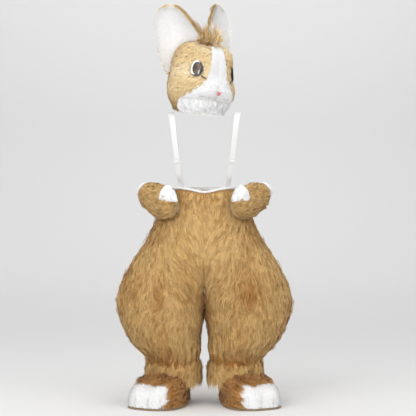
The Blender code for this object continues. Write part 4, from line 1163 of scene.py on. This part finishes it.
def dress_face(length, ruff_length):
    """White blaze with its mouth line, and the ruff, which droops past the hem."""
    def blaze_point(share, up):
        return turned(head_point(share * blaze_edge(up), up))

    def blaze_flow(root, normal):
        p = from_turned(root)
        low = np.clip((-0.075 - p[..., 2]) / 0.03, 0, 1)
        return head_way(stack(np.sign(p[..., 0]) * (0.25 + 0.75 * low), 0.3, 1.0 - 1.5 * low))

    def mouth(root):
        p = from_turned(root)
        azimuth = np.abs(np.degrees(np.arctan2(p[..., 0], -p[..., 1])))
        line = np.interp(azimuth, (0.0, 20.5, 33.0), (-0.1306, -0.1306, -0.1245))
        return 0.5 - 0.3 * np.exp(-(((p[..., 2] - line) / 0.0022) ** 2)) * (azimuth < 31)

    surface = Surface(blaze_point, (-1.0, 1.0), (BLAZE_FOOT, BLAZE_TOP), HEAD_CENTRE)
    dress("blaze", surface, "white", (0.30, 0.34), "stretched", (33, 33), (0.006, 0.002), 16000, 9,
          length, 0.0017, 0.0050, blaze_flow, tone=mouth, **CLOSE)

    def ruff_point(share, up):
        azimuth = share * blaze_edge(up)
        droop = ((1 - up / BLAZE_FOOT) * (1 - share**4))[..., None] * UP * RUFF_DROOP
        return turned(hung(head_point(azimuth, up), up)) - droop

    def ruff_flow(root, normal):
        p = from_turned(root)
        return head_way(stack(1.2 * p[..., 0], -0.12, -1.0))

    def far_short(u, v, root):
        return (1.0 - 0.6 * np.clip(u / 0.7, 0, 1)) * (0.6 + 0.4 * np.clip(v / BLAZE_FOOT, 0, 1))

    surface = Surface(ruff_point, (-1.0, 1.0), (0.0, BLAZE_FOOT), HEAD_CENTRE)
    dress("ruff", surface, "white", (0.40, 0.06), "stretched", (33, 7), (0.004, 0.002), 8000, 16,
          ruff_length, 0.0021, 0.012, ruff_flow, lock=0.009, gather=0.85, tip_lift=0.8, yaw=20,
          long=far_short)


EAR_SIGNS = {"right": 1.0, "left": 1.0}


def ear_sheet(ear, share, up, into):
    """Points `into` the hollow of the ear, kept off the head and sewn down at the foot."""
    middle = ear_surface(ear, share, up)
    normal = unit(np.cross(ear_surface(ear, share + 1e-3, up) - ear_surface(ear, share - 1e-3, up),
                           ear_surface(ear, share, up + 1e-3) - ear_surface(ear, share, up - 1e-3)))
    normal = normal * EAR_SIGNS[ear]
    layer = middle + normal * into
    reach = np.linalg.norm(layer, axis=-1)
    flat = dot(normal, unit(middle))
    under = np.where(flat > 0, into + EAR_BACK_WALL, into - EAR_LINED_AT - EAR_LINING_WALL)
    head = head_reach(layer) + EAR_OFF_HEAD + under * flat
    sewn = np.interp(share, EAR_SHARES, EAR_SEWN[ear].astype(float))
    sewn = sewn * np.clip(1 - up / 0.05, 0, 1)
    wanted = np.maximum(reach, head) * (1 - sewn) + head * sewn
    return layer * (wanted / reach)[..., None]


def ear_at(place_of, ear, share, up, *into):
    """One point of an ear, as `place_of` gives it."""
    return place_of(ear, np.array([share]), np.array([up]), *into)[0]


def find_ear_signs():
    """Which way the ear's normal has to be turned to point into the hollow."""
    for ear in EARS:
        middle = ear_at(ear_surface, ear, 0.0, 0.6)
        rims = (ear_at(ear_surface, ear, 0.99, 0.6) + ear_at(ear_surface, ear, -0.99, 0.6)) / 2
        step = ear_at(ear_sheet, ear, 0.0, 0.6, 0.01) - middle
        EAR_SIGNS[ear] = 1.0 if np.dot(step, rims - middle) > 0 else -1.0


def dress_ear(ear, back_length, lining_length):
    """Tan back and white lining of one ear, with the hair of each combed to its tip or rim."""
    width = EARS[ear][4]
    outside = EARS[ear][0]  # +1 on the wearer's left
    foot = turned(ear_at(ear_surface, ear, 0.0, 0.05))
    reach = turned(ear_at(ear_surface, ear, 0.0, 0.95)) - foot
    way = unit(reach)
    off_middle = [abs(turned(ear_at(ear_surface, ear, share, 0.5))[0] - HEAD_CENTRE[0])
                  for share in (-0.9, 0.9)]
    inner = 1.0 if off_middle[1] < off_middle[0] else -1.0

    def to_tip(root, normal):
        drift = waves(root, 20.0, 61) - 0.5
        return way + np.array([1.0, 0.0, 0.0]) * drift[..., None] * 0.6

    def to_rim(root, normal):
        aside = root - foot
        aside = aside - way * dot(aside, way)[..., None]
        return to_tip(root, normal) + aside * 20.0

    def outer_rim(u, v):
        edge = np.clip((-u * inner - 0.5) / 0.4, 0, 1)
        return np.maximum(edge, np.clip((v - 0.75) / 0.2, 0, 1) * (u * inner < 0.5))

    def back_long(u, v, root):
        inside = np.clip((u * inner - 0.4) / 0.5, 0, 1) * (1 - 0.7 * v)
        return (1.0 - 0.6 * outer_rim(u, v) + 1.4 * inside) * np.clip((1 - v) / 0.1, 0.2, 1)

    def lining_long(u, v, root):
        edge = 0.5 * outer_rim(u, v) - 0.5 * np.clip((u * inner - 0.6) / 0.3, 0, 1)
        return (1.0 + edge) * np.clip((1 - v) / 0.12, 0.2, 1)

    def back_tone(root):
        high = np.clip(dot(root - foot, way) / np.linalg.norm(reach), 0, 1)
        outward = (root[:, 0] - foot[0] - high * reach[0]) * outside
        cream = np.clip((outward + 0.02) / 0.03, 0, 1) + np.clip((high - 0.9) / 0.06, 0, 1)
        return np.clip(0.2 + 0.35 * waves(root, 45.0, 63) + cream, 0, 1)

    def back_point(share, up):
        return turned(ear_sheet(ear, share, up, -EAR_BACK_WALL))

    def lining_point(share, up):
        half = eased(EAR_SECTIONS, 1, 0.35 + 0.65 * up) * width
        return turned(ear_sheet(ear, share * (1 - EAR_RIM / half),
                                0.01 + up * (0.99 - EAR_RIM / EAR_LENGTH),
                                EAR_LINED_AT + EAR_LINING_WALL))

    back = Surface(back_point, (-1.0, 1.0), (0.0, 1.0), foot)
    back.face(turned(ear_at(ear_sheet, ear, 0.0, 0.5, -0.05)))
    lining = Surface(lining_point, (-1.0, 1.0), (0.0, 1.0), foot)
    lining.face(turned(ear_at(ear_sheet, ear, 0.0, 0.5, 0.05)))
    dress(f"ear_back_{ear}", back, "head", (0.30, 0.31), "stretched", (33, 25), (0.0042, 0.0018),
          9500, 10, back_length, 0.0020, 0.0060, to_tip, lock=0.005, long=back_long, tone=back_tone)
    dress(f"ear_lining_{ear}", lining, "white", (0.29, 0.29), "stretched", (33, 25),
          (0.0034, 0.0016), 17000, 8, lining_length, 0.0017, 0.0038, to_rim, lock=0.004, yaw=12,
          roll=7, tip_lift=0.85, ruffle=0.15, long=lining_long)


def dress_ears(back_length, lining_length):
    find_ear_signs()
    for ear in EARS:
        dress_ear(ear, back_length, lining_length)


# Eyes and nose


def dome_point(centre, size, base, rise, side=1, power=0.55):
    """Dome on the head: polar angle and radius to azimuth and height, raised off the surface."""
    surface = Surface(head_point, (-0.9, 0.9), (0.2, 0.8), (0.0, 0.0, 0.0))

    def point(angle, radius, lift=0.0):
        azimuth = centre[0] + radius * np.cos(angle) * size[0] / HEAD_RADIUS
        up = centre[1] + radius * np.sin(angle) * size[1] / HEAD_SPAN
        dome = base + rise * (1 - power * radius**2) + lift
        foot = surface.point(azimuth, up) + surface.normal(azimuth, up) * dome[..., None]
        return turned(mirrored(foot, side))

    return point


def disc(name, point, material, depth, lean=0.0):
    """A closed dome: its face, and a flat back `depth` under it, rounded into each other.
    Each point keeps its radius as a rim value, which `lean` raises towards the nose and chin."""
    angle, radius = grid(np.linspace(0, 2 * math.pi, 49), np.linspace(1, 0, 10))
    outer, inner = point(angle, radius), point(angle, radius * 0.97, -depth)
    for face in (outer, inner):
        face[-1] = face[0]
        face[:, -1] = face[:, -1].mean(axis=0)
    obj = shell(name, outer, inner, material, ring=True)
    add_sharp(obj, 50)
    places = np.zeros(len(obj.data.vertices) * 3)
    obj.data.vertices.foreach_get("co", places)
    away = places.reshape(-1, 3) - outer[0, -1]
    across, upward = outer[0, 0] - outer[0, -1], outer[12, 0] - outer[0, -1]
    x, y = away @ across / (across @ across), away @ upward / (upward @ upward)
    rim = np.hypot(x, y) - lean * (0.85 * x + 0.5 * y)
    layer = obj.data.attributes.new("rim", "FLOAT", "POINT")
    layer.data.foreach_set("value", rim.astype(np.float32))
    return obj


def dress_eyes():
    surface = Surface(head_point, (-0.9, 0.9), (0.2, 0.8), (0.0, 0.0, 0.0))
    share, along = grid(np.linspace(-0.5, 0.5, 5), np.linspace(0, 1, 15))
    across = share * TEAR_WIDTH * (1.2 - along)
    for side, hand in SIDES:
        azimuth = EYE_AZIMUTH[hand]
        white = disc(f"eye_white_{hand}_dome",
                     dome_point((azimuth, EYE_UP), EYE_SIZE, 0.0016, 0.0048, side),
                     FINISH["eye_white"], 0.0030, lean=0.28)
        place(white, f"eye_white_{hand}", "eye_white")
        iris = disc(f"iris_{hand}_dome",
                    dome_point((azimuth + IRIS_SHIFT, EYE_UP), IRIS_SIZE, 0.0066, 0.0050, side),
                    FINISH["iris"], 0.0035)
        place(iris, f"iris_{hand}", "iris_brown")
        at = (azimuth + TEAR_START[0] - TEAR_RUN * along + across,
              EYE_UP + TEAR_START[1] - TEAR_FALL * along + across)
        foot, normal = surface.point(*at), surface.normal(*at)
        outer, inner = (turned(mirrored(foot + normal * lift, side)) for lift in (0.0045, 0.0012))
        tear = shell(f"tear_line_{hand}_strip", outer, inner, FINISH["rim_black"])
        place(tear, f"tear_line_{hand}", "black_felt")


def dress_nose():
    """A domed pad whose outline has three lobes."""
    pad = dome_point((0.0, NOSE_UP), NOSE_SIZE, 0.0014, 0.0075, power=0.75)

    def lobed(angle, radius, lift=0.0):
        return pad(angle, radius * (0.76 + 0.24 * np.sin(3 * angle)), lift)

    nose = disc("nose_pad", lobed, FINISH["nose_pink"], 0.003)
    place(nose, "nose", "pink_felt")


# Bindings and braces


def add_map(obj, u, v):
    """Map of a closed wall from the (columns, rows) values of its two grids."""
    both = np.concatenate((np.stack((u, v), axis=-1).reshape(-1, 2),) * 2)
    index = np.zeros(len(obj.data.loops), int)
    obj.data.loops.foreach_get("vertex_index", index)
    layer = obj.data.uv_layers.new(name="weave")
    layer.data.foreach_set("uv", both[index].astype(np.float32).ravel())


def add_band(node, outer, inner):
    """Narrow cloth band sewn round an edge, from the two faces of a closed ring."""
    band = wall_object(node + "_band", outer, inner, FINISH["binding"], ring=True)
    weld(band, slivers=True)
    place(band, node, "white_webbing")


def dress_waist_binding():
    """Band on the waist edge: the section of the trousers there, lifted, with a puckered face."""
    around = np.linspace(0, 2 * math.pi, 193)
    outer, inner, fore, rear = (eased(LEG_SECTIONS, column, WAIST) for column in (1, 2, 3, 4))
    centre, half = (outer + inner) / 2, (outer - inner) / 2
    turn = np.abs(np.mod(around + math.pi / 2, math.pi) - math.pi / 2) / (math.pi / 2)
    angle = turn * math.acos(-centre / half)
    front = np.sin(around) < 0
    x = np.sign(np.cos(around)) * (centre + half * np.cos(angle))
    y = np.sign(np.sin(around)) * np.where(front, fore, rear) * leg_bow(angle, WAIST)
    ring = np.stack((x, y, WAIST + BAND_OVER - np.where(front, waist_drop(x), 0)), axis=-1)
    ring[-1] = ring[0]
    tangent = np.roll(ring[:-1], -1, axis=0) - np.roll(ring[:-1], 1, axis=0)
    out = unit(np.stack((tangent[:, 1], -tangent[:, 0], 0 * tangent[:, 0]), axis=-1))
    out = np.concatenate((out, out[:1]))
    rows = np.linspace(0, 1, 7)
    pucker = PUCKER * np.sin(around * PUCKERS)
    bulge = 0.0015 * np.sin(rows * math.pi)[None] + pucker[:, None] + PUCKER
    face = ring[:, None] + UP * (rows * WAIST_BAND)[None, :, None] + out[:, None] * bulge[..., None]
    add_band("waist_binding", face, face - out[:, None] * 0.006)


def slider_share():
    """Where along the strap the slider's middle bar lies."""
    at = np.linspace(0.15, 0.30, 301)
    return np.interp(SLIDER_AT, strap_frame(at)[0][:, 2], at)


def run_along(line):
    """Length of a line of points from its start to each of them."""
    return np.concatenate(([0.0], np.cumsum(np.linalg.norm(np.diff(line, axis=0), axis=1))))


def dress_straps():
    """Webbing from the front waist over the shoulder to the back waist. It comes forward by a
    smooth step between the slider's slots, to pass over its middle bar."""
    middle = slider_share()
    near = np.linspace(middle - 0.02, middle + 0.02, 401)
    travel = run_along(strap_frame(near)[0])
    travel = travel - np.interp(middle, near, travel)
    steps = np.concatenate((np.linspace(0, middle - 0.02, 40),
                            np.linspace(middle - 0.019, middle + 0.019, 60),
                            np.linspace(middle + 0.02, 1, 130)))
    line, side, out = strap_frame(steps)
    run = np.interp(steps, near, travel, left=-1.0, right=1.0)
    over = np.clip((SLIDER_BAR / 2 + 2 * SLOT_HALF - SLOT_CLEAR - np.abs(run))
                   / (2 * SLOT_HALF - 2 * SLOT_CLEAR), 0, 1)
    line = line + out * (WEAVE * over**2 * (3 - 2 * over))[:, None]
    share = np.linspace(-1, 1, 9)[:, None, None]
    half = eased(STRAP_PATH, 4, steps)[:, None]
    face = line + share * side * half + STRAP_BOW * (1 - share**2) * out
    long = run_along(line)
    u, v = np.broadcast_arrays(share[..., 0] / 2 + 0.5, long)
    for sign, hand in SIDES:
        strap = wall_object(f"strap_{hand}_web", mirrored(face + out * WEBBING_HALF, sign),
                            mirrored(face - out * WEBBING_HALF, sign), FINISH["webbing"])
        if sign < 0:
            strap.data.flip_normals()
        add_map(strap, u, v)
        add_sharp(strap, 50)
        place(strap, f"strap_{hand}", "white_webbing")


def dress_sliders():
    """Plastic finish and rounded edges for the two CAD sliders."""
    for node in (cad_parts["slider_left"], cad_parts["slider_right"]):
        node.data.materials.clear()
        node.data.materials.append(FINISH["buckle_plastic"])
        bevel = node.modifiers.new("rounded edges", "BEVEL")
        bevel.width = 0.0005
        bevel.segments = 2
        bevel.limit_method = "ANGLE"
        bevel.angle_limit = math.radians(40)


# Mitts


def dress_mitts(length):
    """Back and palm of each mitt, and the white tip that swells over its fingers."""
    for side, hand in SIDES:
        def flow(root, normal):
            drift = 0.4 * (waves(root, 18.0, 71) - 0.5)
            return stack(-0.69 * side, -0.67, -0.28 + drift)

        core = mitt_frame(np.array([0.5]))[0][0]
        for low, name, kind in ((0.0, "back", "tan"), (0.5, "palm", "palm")):
            surface = Surface(mitt_point, (low, low + 0.5), (0.0, 0.985), core, side)
            dress(f"mitt_{name}_{hand}", surface, kind, (0.26, 0.25), "stretched", (21, 27),
                  (0.0052, 0.0018), 8000, 14, length, 0.0022, 0.0090, flow, lock=0.0075)
        base = Surface(mitt_point, (0.0, 1.0), (0.001, 0.985), core)

        def tip_point(turn, at):
            middle = np.sin(np.clip((turn - TIP_FROM) / (TIP_TO - TIP_FROM), 0, 1) * math.pi)
            lobe = middle * np.sin(np.clip((at - 0.50) / 0.50, 0, 1) * math.pi * 0.8)
            away = base.normal(turn, np.clip(at, 0.001, 0.985))
            return mitt_point(turn, at) + away * (0.0016 + (0.004 + 0.017 * lobe))[..., None]

        surface = Surface(tip_point, (TIP_FROM, TIP_TO), (0.68, 0.97), core, side)
        dress(f"mitt_tip_{hand}", surface, "white", (0.12, 0.11), "stretched", (17, 13),
              (0.0045, 0.0015), 5000, 10, 0.016, 0.0018, 0.0048, flow, **CLOSE)


def dress_mitt_bindings():
    """Band round each wrist edge, drawn back from the hand."""
    turn = np.linspace(0, 1, 97)
    line = mitt_frame(0 * turn)[0]
    start = mitt_point(turn, 0 * turn)
    back = unit(line - mitt_frame(0 * turn + 0.06)[0])
    out = unit(start - line)
    rows = np.linspace(0, 1, 7)
    bulge = 0.0012 * np.sin(rows * math.pi)
    face = (start[:, None] + out[:, None] * (0.0002 + bulge)[None, :, None]
            + back[:, None] * (0.0004 + 0.0111 * rows)[None, :, None])
    inner = face - out[:, None] * 0.004
    for side, hand in SIDES:
        add_band(f"mitt_binding_{hand}", mirrored(face, side), mirrored(inner, side))


# Foot paws


def dress_feet(length):
    """Shaft, heel quarter, toe cap and sole of each foot paw."""
    def upper(turn, down):
        return foot_to_place(foot_point(turn, down))

    core = foot_to_place(np.array([0.0, -0.04, FLOOR + 0.04]))

    def tone(root):
        return np.clip(0.25 + 0.7 * waves(root, 26.0, 81), 0, 1)

    def toes(root):
        """Shade in three folds between the toes, near the floor."""
        folds = np.exp(-(((np.abs(root[:, :1]) - TOE_FOLDS) / 0.0035) ** 2)).sum(axis=1)
        return 0.5 - 0.3 * folds * np.clip((0.08 - root[:, 2] + FLOOR) / 0.03, 0, 1)

    def collar(u, v, root):
        """Longer hair where the shaft meets the toe cap."""
        front = np.clip((ANKLE[1] - root[:, 1]) / 0.05, 0, 1)
        return 1.0 + 0.9 * front * np.exp(-(((np.abs(root[:, 0]) - 0.180) / 0.030) ** 2))

    full = (-CAP_INSIDE, 2 * math.pi - CAP_INSIDE)
    angle, inward = grid(np.linspace(0, 2 * math.pi, 97), np.linspace(1, 0, 8))
    reach = (sole_reach(angle) - 0.001) * inward
    flat = stack(reach * np.sin(angle), -reach * np.cos(angle), FLOOR)
    low, top = foot_to_place(flat), foot_to_place(flat + UP * SOLE_THICK)
    for side, hand in SIDES:
        def flow(root, normal):
            """Outwards and down all round, and inwards over the instep beside the toe cap."""
            away = unit(root[..., :2] - np.array([ANKLE[0] * side, ANKLE[1]]))
            toward = np.clip((ANKLE[1] - root[..., 1]) / 0.06, 0, 1)
            toward = toward * np.clip((0.21 - np.abs(root[..., 0])) / 0.03, 0, 1)
            return stack(away[..., 0] + 1.3 * side * toward, away[..., 1] - 0.3 * toward, -0.8)

        surface = Surface(upper, full, (0.0, CAP_START), core, side)
        dress(f"foot_shaft_{hand}", surface, "russet", (0.52, 0.06), "stretched", (61, 9),
              (0.006, 0.002), 9000, 12, length, 0.0024, 0.010, flow, ring=True, lock=0.009,
              tone=tone, long=collar)
        surface = Surface(upper, (CAP_OUTSIDE, full[1]), (CAP_START, 0.985), core, side)
        dress(f"foot_heel_{hand}", surface, "russet", (0.46, 0.14), "stretched", (41, 13),
              (0.006, 0.002), 7500, 12, length * 0.8, 0.0024, 0.009, flow, lock=0.007, tone=tone,
              long=collar)
        surface = Surface(upper, (-CAP_INSIDE, CAP_OUTSIDE), (CAP_START, 0.985), core, side)
        dress(f"toe_cap_{hand}", surface, "white", (0.34, 0.24), "stretched", (41, 21),
              (0.0035, 0.002), 14000, 8, 0.013, 0.0017, 0.0030, flow, tone=toes, **CLOSE)
        sole = shell(f"sole_{hand}_pad", mirrored(top, side), mirrored(low, side),
                     FINISH["sole_cloth"], ring=True)
        add_sharp(sole, 50)
        place(sole, f"sole_{hand}", "sole_cloth")


# Studio


SWEEP_HALF_WIDTH = 14.0
SWEEP_FRONT = -14.0
WALL_AT = 9.0
WALL_TOP = 7.0
BEND_RADIUS = 2.0
WALL_AIM = (0.0, 9.0, -0.6)
COSTUME_AIM = (0.0, 0.0, -0.5)
# row: name, place, width and height, watts, aim
LAMPS = (
    ("key", (-2.4, -4.4, 2.4), (5.0, 4.0), 125.0, COSTUME_AIM),
    ("fill", (3.6, -3.8, 1.4), (4.0, 3.0), 60.0, COSTUME_AIM),
    ("top", (0.0, -0.5, 3.4), (3.5, 3.5), 60.0, COSTUME_AIM),
    ("front", (-1.3, -3.6, 0.9), (0.5, 0.5), 16.0, COSTUME_AIM),
    ("wall", (0.0, 6.2, 3.4), (8.0, 1.5), 70.0, WALL_AIM),
)
CAMERA_AT = (0.0168, -6.0, -0.456)
FRAME_PIXELS = 416
PIXEL = 0.0048  # metres that one pixel of the frame covers at the costume


def build_stage(brightness):
    """Floor that sweeps up into a pale wall, soft lamps and the camera."""
    scene = bpy.context.scene
    bend = np.linspace(0, math.pi / 2, 13)[1:]
    low, start = FLOOR - 0.001, WALL_AT - BEND_RADIUS
    y = [SWEEP_FRONT, start, *(start + BEND_RADIUS * np.sin(bend)), WALL_AT]
    z = [low, low, *(low + BEND_RADIUS * (1 - np.cos(bend))), WALL_TOP]
    across = np.linspace(-SWEEP_HALF_WIDTH, SWEEP_HALF_WIDTH, 3)
    points = stack(across[:, None], np.array(y), np.array(z))
    faces = grid_faces(*points.shape[:2])
    pale = Finish("pale_floor", 0.9, Base_Color=(0.74, 0.74, 0.74, 1.0), Specular_IOR_Level=0.1)
    floor = mesh_object("pale_sweep", points.reshape(-1, 3),
                        (faces.ravel(), np.full(len(faces), 4)), pale.material)
    for name, spot, size, watts, aim in LAMPS:
        lamp = bpy.data.lights.new(name, "AREA")
        lamp.shape = "RECTANGLE"
        lamp.size, lamp.size_y = size
        lamp.energy = watts * brightness
        obj = bpy.data.objects.new(name, lamp)
        obj.location = spot
        obj.rotation_euler = look(np.subtract(aim, spot))
        scene.collection.objects.link(obj)
    scene.world = scene.world or bpy.data.worlds.new("studio")
    scene.world.use_nodes = True
    sky = scene.world.node_tree.nodes["Background"]
    sky.inputs["Color"].default_value = (1.0, 1.0, 1.0, 1.0)
    sky.inputs["Strength"].default_value = 0.70
    scene.view_settings.view_transform = "Standard"
    lens = bpy.data.cameras.new("camera")
    lens.sensor_width = 36.0
    lens.lens = lens.sensor_width * -CAMERA_AT[1] / (FRAME_PIXELS * PIXEL)
    camera = bpy.data.objects.new("camera", lens)
    camera.location = CAMERA_AT
    camera.rotation_euler = (math.pi / 2, 0.0, 0.0)
    scene.collection.objects.link(camera)
    scene.camera = camera


def look(way):
    """Rotation that turns a lamp's -Z along the way given."""
    x, y, z = way / np.linalg.norm(way)
    return (math.acos(-z), 0.0, math.atan2(-x, y))


# Settings, operators and panel


def pile_length(name, description, default, low, high):
    return bpy.props.FloatProperty(name=name, description=description, default=default, min=low,
                                   max=high, unit="LENGTH")


class CostumeFurSettings(bpy.types.PropertyGroup):
    """Pile lengths of the costume's furs."""

    trousers: pile_length("Trousers", "Pile of trousers and cuffs", 0.076, 0.01, 0.08)
    hood: pile_length("Hood", "Pile of the tan head fur", 0.020, 0.004, 0.05)
    crown: pile_length("Crown", "Standing tufts between the ears", 0.070, 0.01, 0.12)
    face: pile_length("Face", "Pile of the white blaze", 0.016, 0.004, 0.03)
    ruff: pile_length("Ruff", "Pile of the long chin ruff", 0.046, 0.01, 0.08)
    ear_back: pile_length("Ear back", "Pile behind the ears", 0.018, 0.004, 0.04)
    ear_lining: pile_length("Ear lining", "Pile of the white ear lining", 0.016, 0.003, 0.03)
    mitts: pile_length("Mitts", "Pile of the mitts", 0.030, 0.005, 0.05)
    feet: pile_length("Foot paws", "Pile of the foot paws", 0.042, 0.005, 0.06)


class CostumeStageSettings(bpy.types.PropertyGroup):
    """Light of the studio."""

    brightness: bpy.props.FloatProperty(
        name="Brightness", description="Share of the lamps' full power", default=1.0, min=0.1,
        max=3.0, subtype="FACTOR")


class COSTUME_OT_trousers(bpy.types.Operator):
    """Dress the four trouser panels in long combed fur"""

    bl_idname = "costume.trousers"
    bl_label = "Trousers"
    bl_options = {"REGISTER", "UNDO"}

    def execute(self, context):
        dress_trousers(context.scene.costume_fur.trousers)
        return {"FINISHED"}


class COSTUME_OT_cuffs(bpy.types.Operator):
    """Dress the two leg cuffs under the gather"""

    bl_idname = "costume.cuffs"
    bl_label = "Leg cuffs"
    bl_options = {"REGISTER", "UNDO"}

    def execute(self, context):
        dress_cuffs(context.scene.costume_fur.trousers * 0.9)
        return {"FINISHED"}


class COSTUME_OT_bindings(bpy.types.Operator):
    """Sew the white bands of the waist and the mitts"""

    bl_idname = "costume.bindings"
    bl_label = "Bindings"
    bl_options = {"REGISTER", "UNDO"}

    def execute(self, context):
        dress_waist_binding()
        dress_mitt_bindings()
        return {"FINISHED"}


class COSTUME_OT_braces(bpy.types.Operator):
    """Weave the two straps and finish their sliders"""

    bl_idname = "costume.braces"
    bl_label = "Braces"
    bl_options = {"REGISTER", "UNDO"}

    def execute(self, context):
        dress_straps()
        dress_sliders()
        return {"FINISHED"}


class COSTUME_OT_hood(bpy.types.Operator):
    """Dress both halves of the hood in tan fur"""

    bl_idname = "costume.hood"
    bl_label = "Hood"
    bl_options = {"REGISTER", "UNDO"}

    def execute(self, context):
        dress_hood(context.scene.costume_fur.hood, context.scene.costume_fur.crown)
        return {"FINISHED"}


class COSTUME_OT_face(bpy.types.Operator):
    """Dress the white blaze, muzzle and ruff"""

    bl_idname = "costume.face"
    bl_label = "Blaze and ruff"
    bl_options = {"REGISTER", "UNDO"}

    def execute(self, context):
        dress_face(context.scene.costume_fur.face, context.scene.costume_fur.ruff)
        return {"FINISHED"}


class COSTUME_OT_eyes(bpy.types.Operator):
    """Set the glossy eyes and the nose pad"""

    bl_idname = "costume.eyes"
    bl_label = "Eyes and nose"
    bl_options = {"REGISTER", "UNDO"}

    def execute(self, context):
        dress_eyes()
        dress_nose()
        return {"FINISHED"}


class COSTUME_OT_ears(bpy.types.Operator):
    """Dress the backs and linings of the ears"""

    bl_idname = "costume.ears"
    bl_label = "Ears"
    bl_options = {"REGISTER", "UNDO"}

    def execute(self, context):
        dress_ears(context.scene.costume_fur.ear_back, context.scene.costume_fur.ear_lining)
        return {"FINISHED"}


class COSTUME_OT_mitts(bpy.types.Operator):
    """Dress the mitts"""

    bl_idname = "costume.mitts"
    bl_label = "Mitts"
    bl_options = {"REGISTER", "UNDO"}

    def execute(self, context):
        dress_mitts(context.scene.costume_fur.mitts)
        return {"FINISHED"}


class COSTUME_OT_feet(bpy.types.Operator):
    """Dress the foot paws and their soles"""

    bl_idname = "costume.feet"
    bl_label = "Foot paws"
    bl_options = {"REGISTER", "UNDO"}

    def execute(self, context):
        dress_feet(context.scene.costume_fur.feet)
        return {"FINISHED"}


class COSTUME_OT_stage(bpy.types.Operator):
    """Build the floor, the lamps and the camera"""

    bl_idname = "costume.stage"
    bl_label = "Studio"
    bl_options = {"REGISTER", "UNDO"}

    def execute(self, context):
        build_stage(context.scene.costume_stage.brightness)
        return {"FINISHED"}


OPERATORS = (COSTUME_OT_trousers, COSTUME_OT_cuffs, COSTUME_OT_bindings, COSTUME_OT_braces,
             COSTUME_OT_hood, COSTUME_OT_face, COSTUME_OT_eyes, COSTUME_OT_ears, COSTUME_OT_mitts,
             COSTUME_OT_feet, COSTUME_OT_stage)


class COSTUME_PT_panel(bpy.types.Panel):
    """Pieces of the costume and their settings"""

    bl_idname = "COSTUME_PT_panel"
    bl_label = "Rabbit costume"
    bl_space_type = "VIEW_3D"
    bl_region_type = "UI"
    bl_category = "Costume"

    def draw(self, context):
        column = self.layout.column()
        for name in CostumeFurSettings.__annotations__:
            column.prop(context.scene.costume_fur, name)
        column.prop(context.scene.costume_stage, "brightness")
        for operator in OPERATORS:
            column.operator(operator.bl_idname)


CLASSES = (CostumeFurSettings, CostumeStageSettings, *OPERATORS, COSTUME_PT_panel)
FINISH = {}


def register():
    for item in CLASSES:
        bpy.utils.register_class(item)
    bpy.types.Scene.costume_fur = bpy.props.PointerProperty(type=CostumeFurSettings)
    bpy.types.Scene.costume_stage = bpy.props.PointerProperty(type=CostumeStageSettings)


def unregister():
    del bpy.types.Scene.costume_stage
    del bpy.types.Scene.costume_fur
    for item in reversed(CLASSES):
        bpy.utils.unregister_class(item)


def main():
    register()
    FINISH.update(make_finishes())
    for operator in OPERATORS:
        group, name = operator.bl_idname.split(".")
        getattr(getattr(bpy.ops, group), name)()


if __name__ == "__main__":
    main()
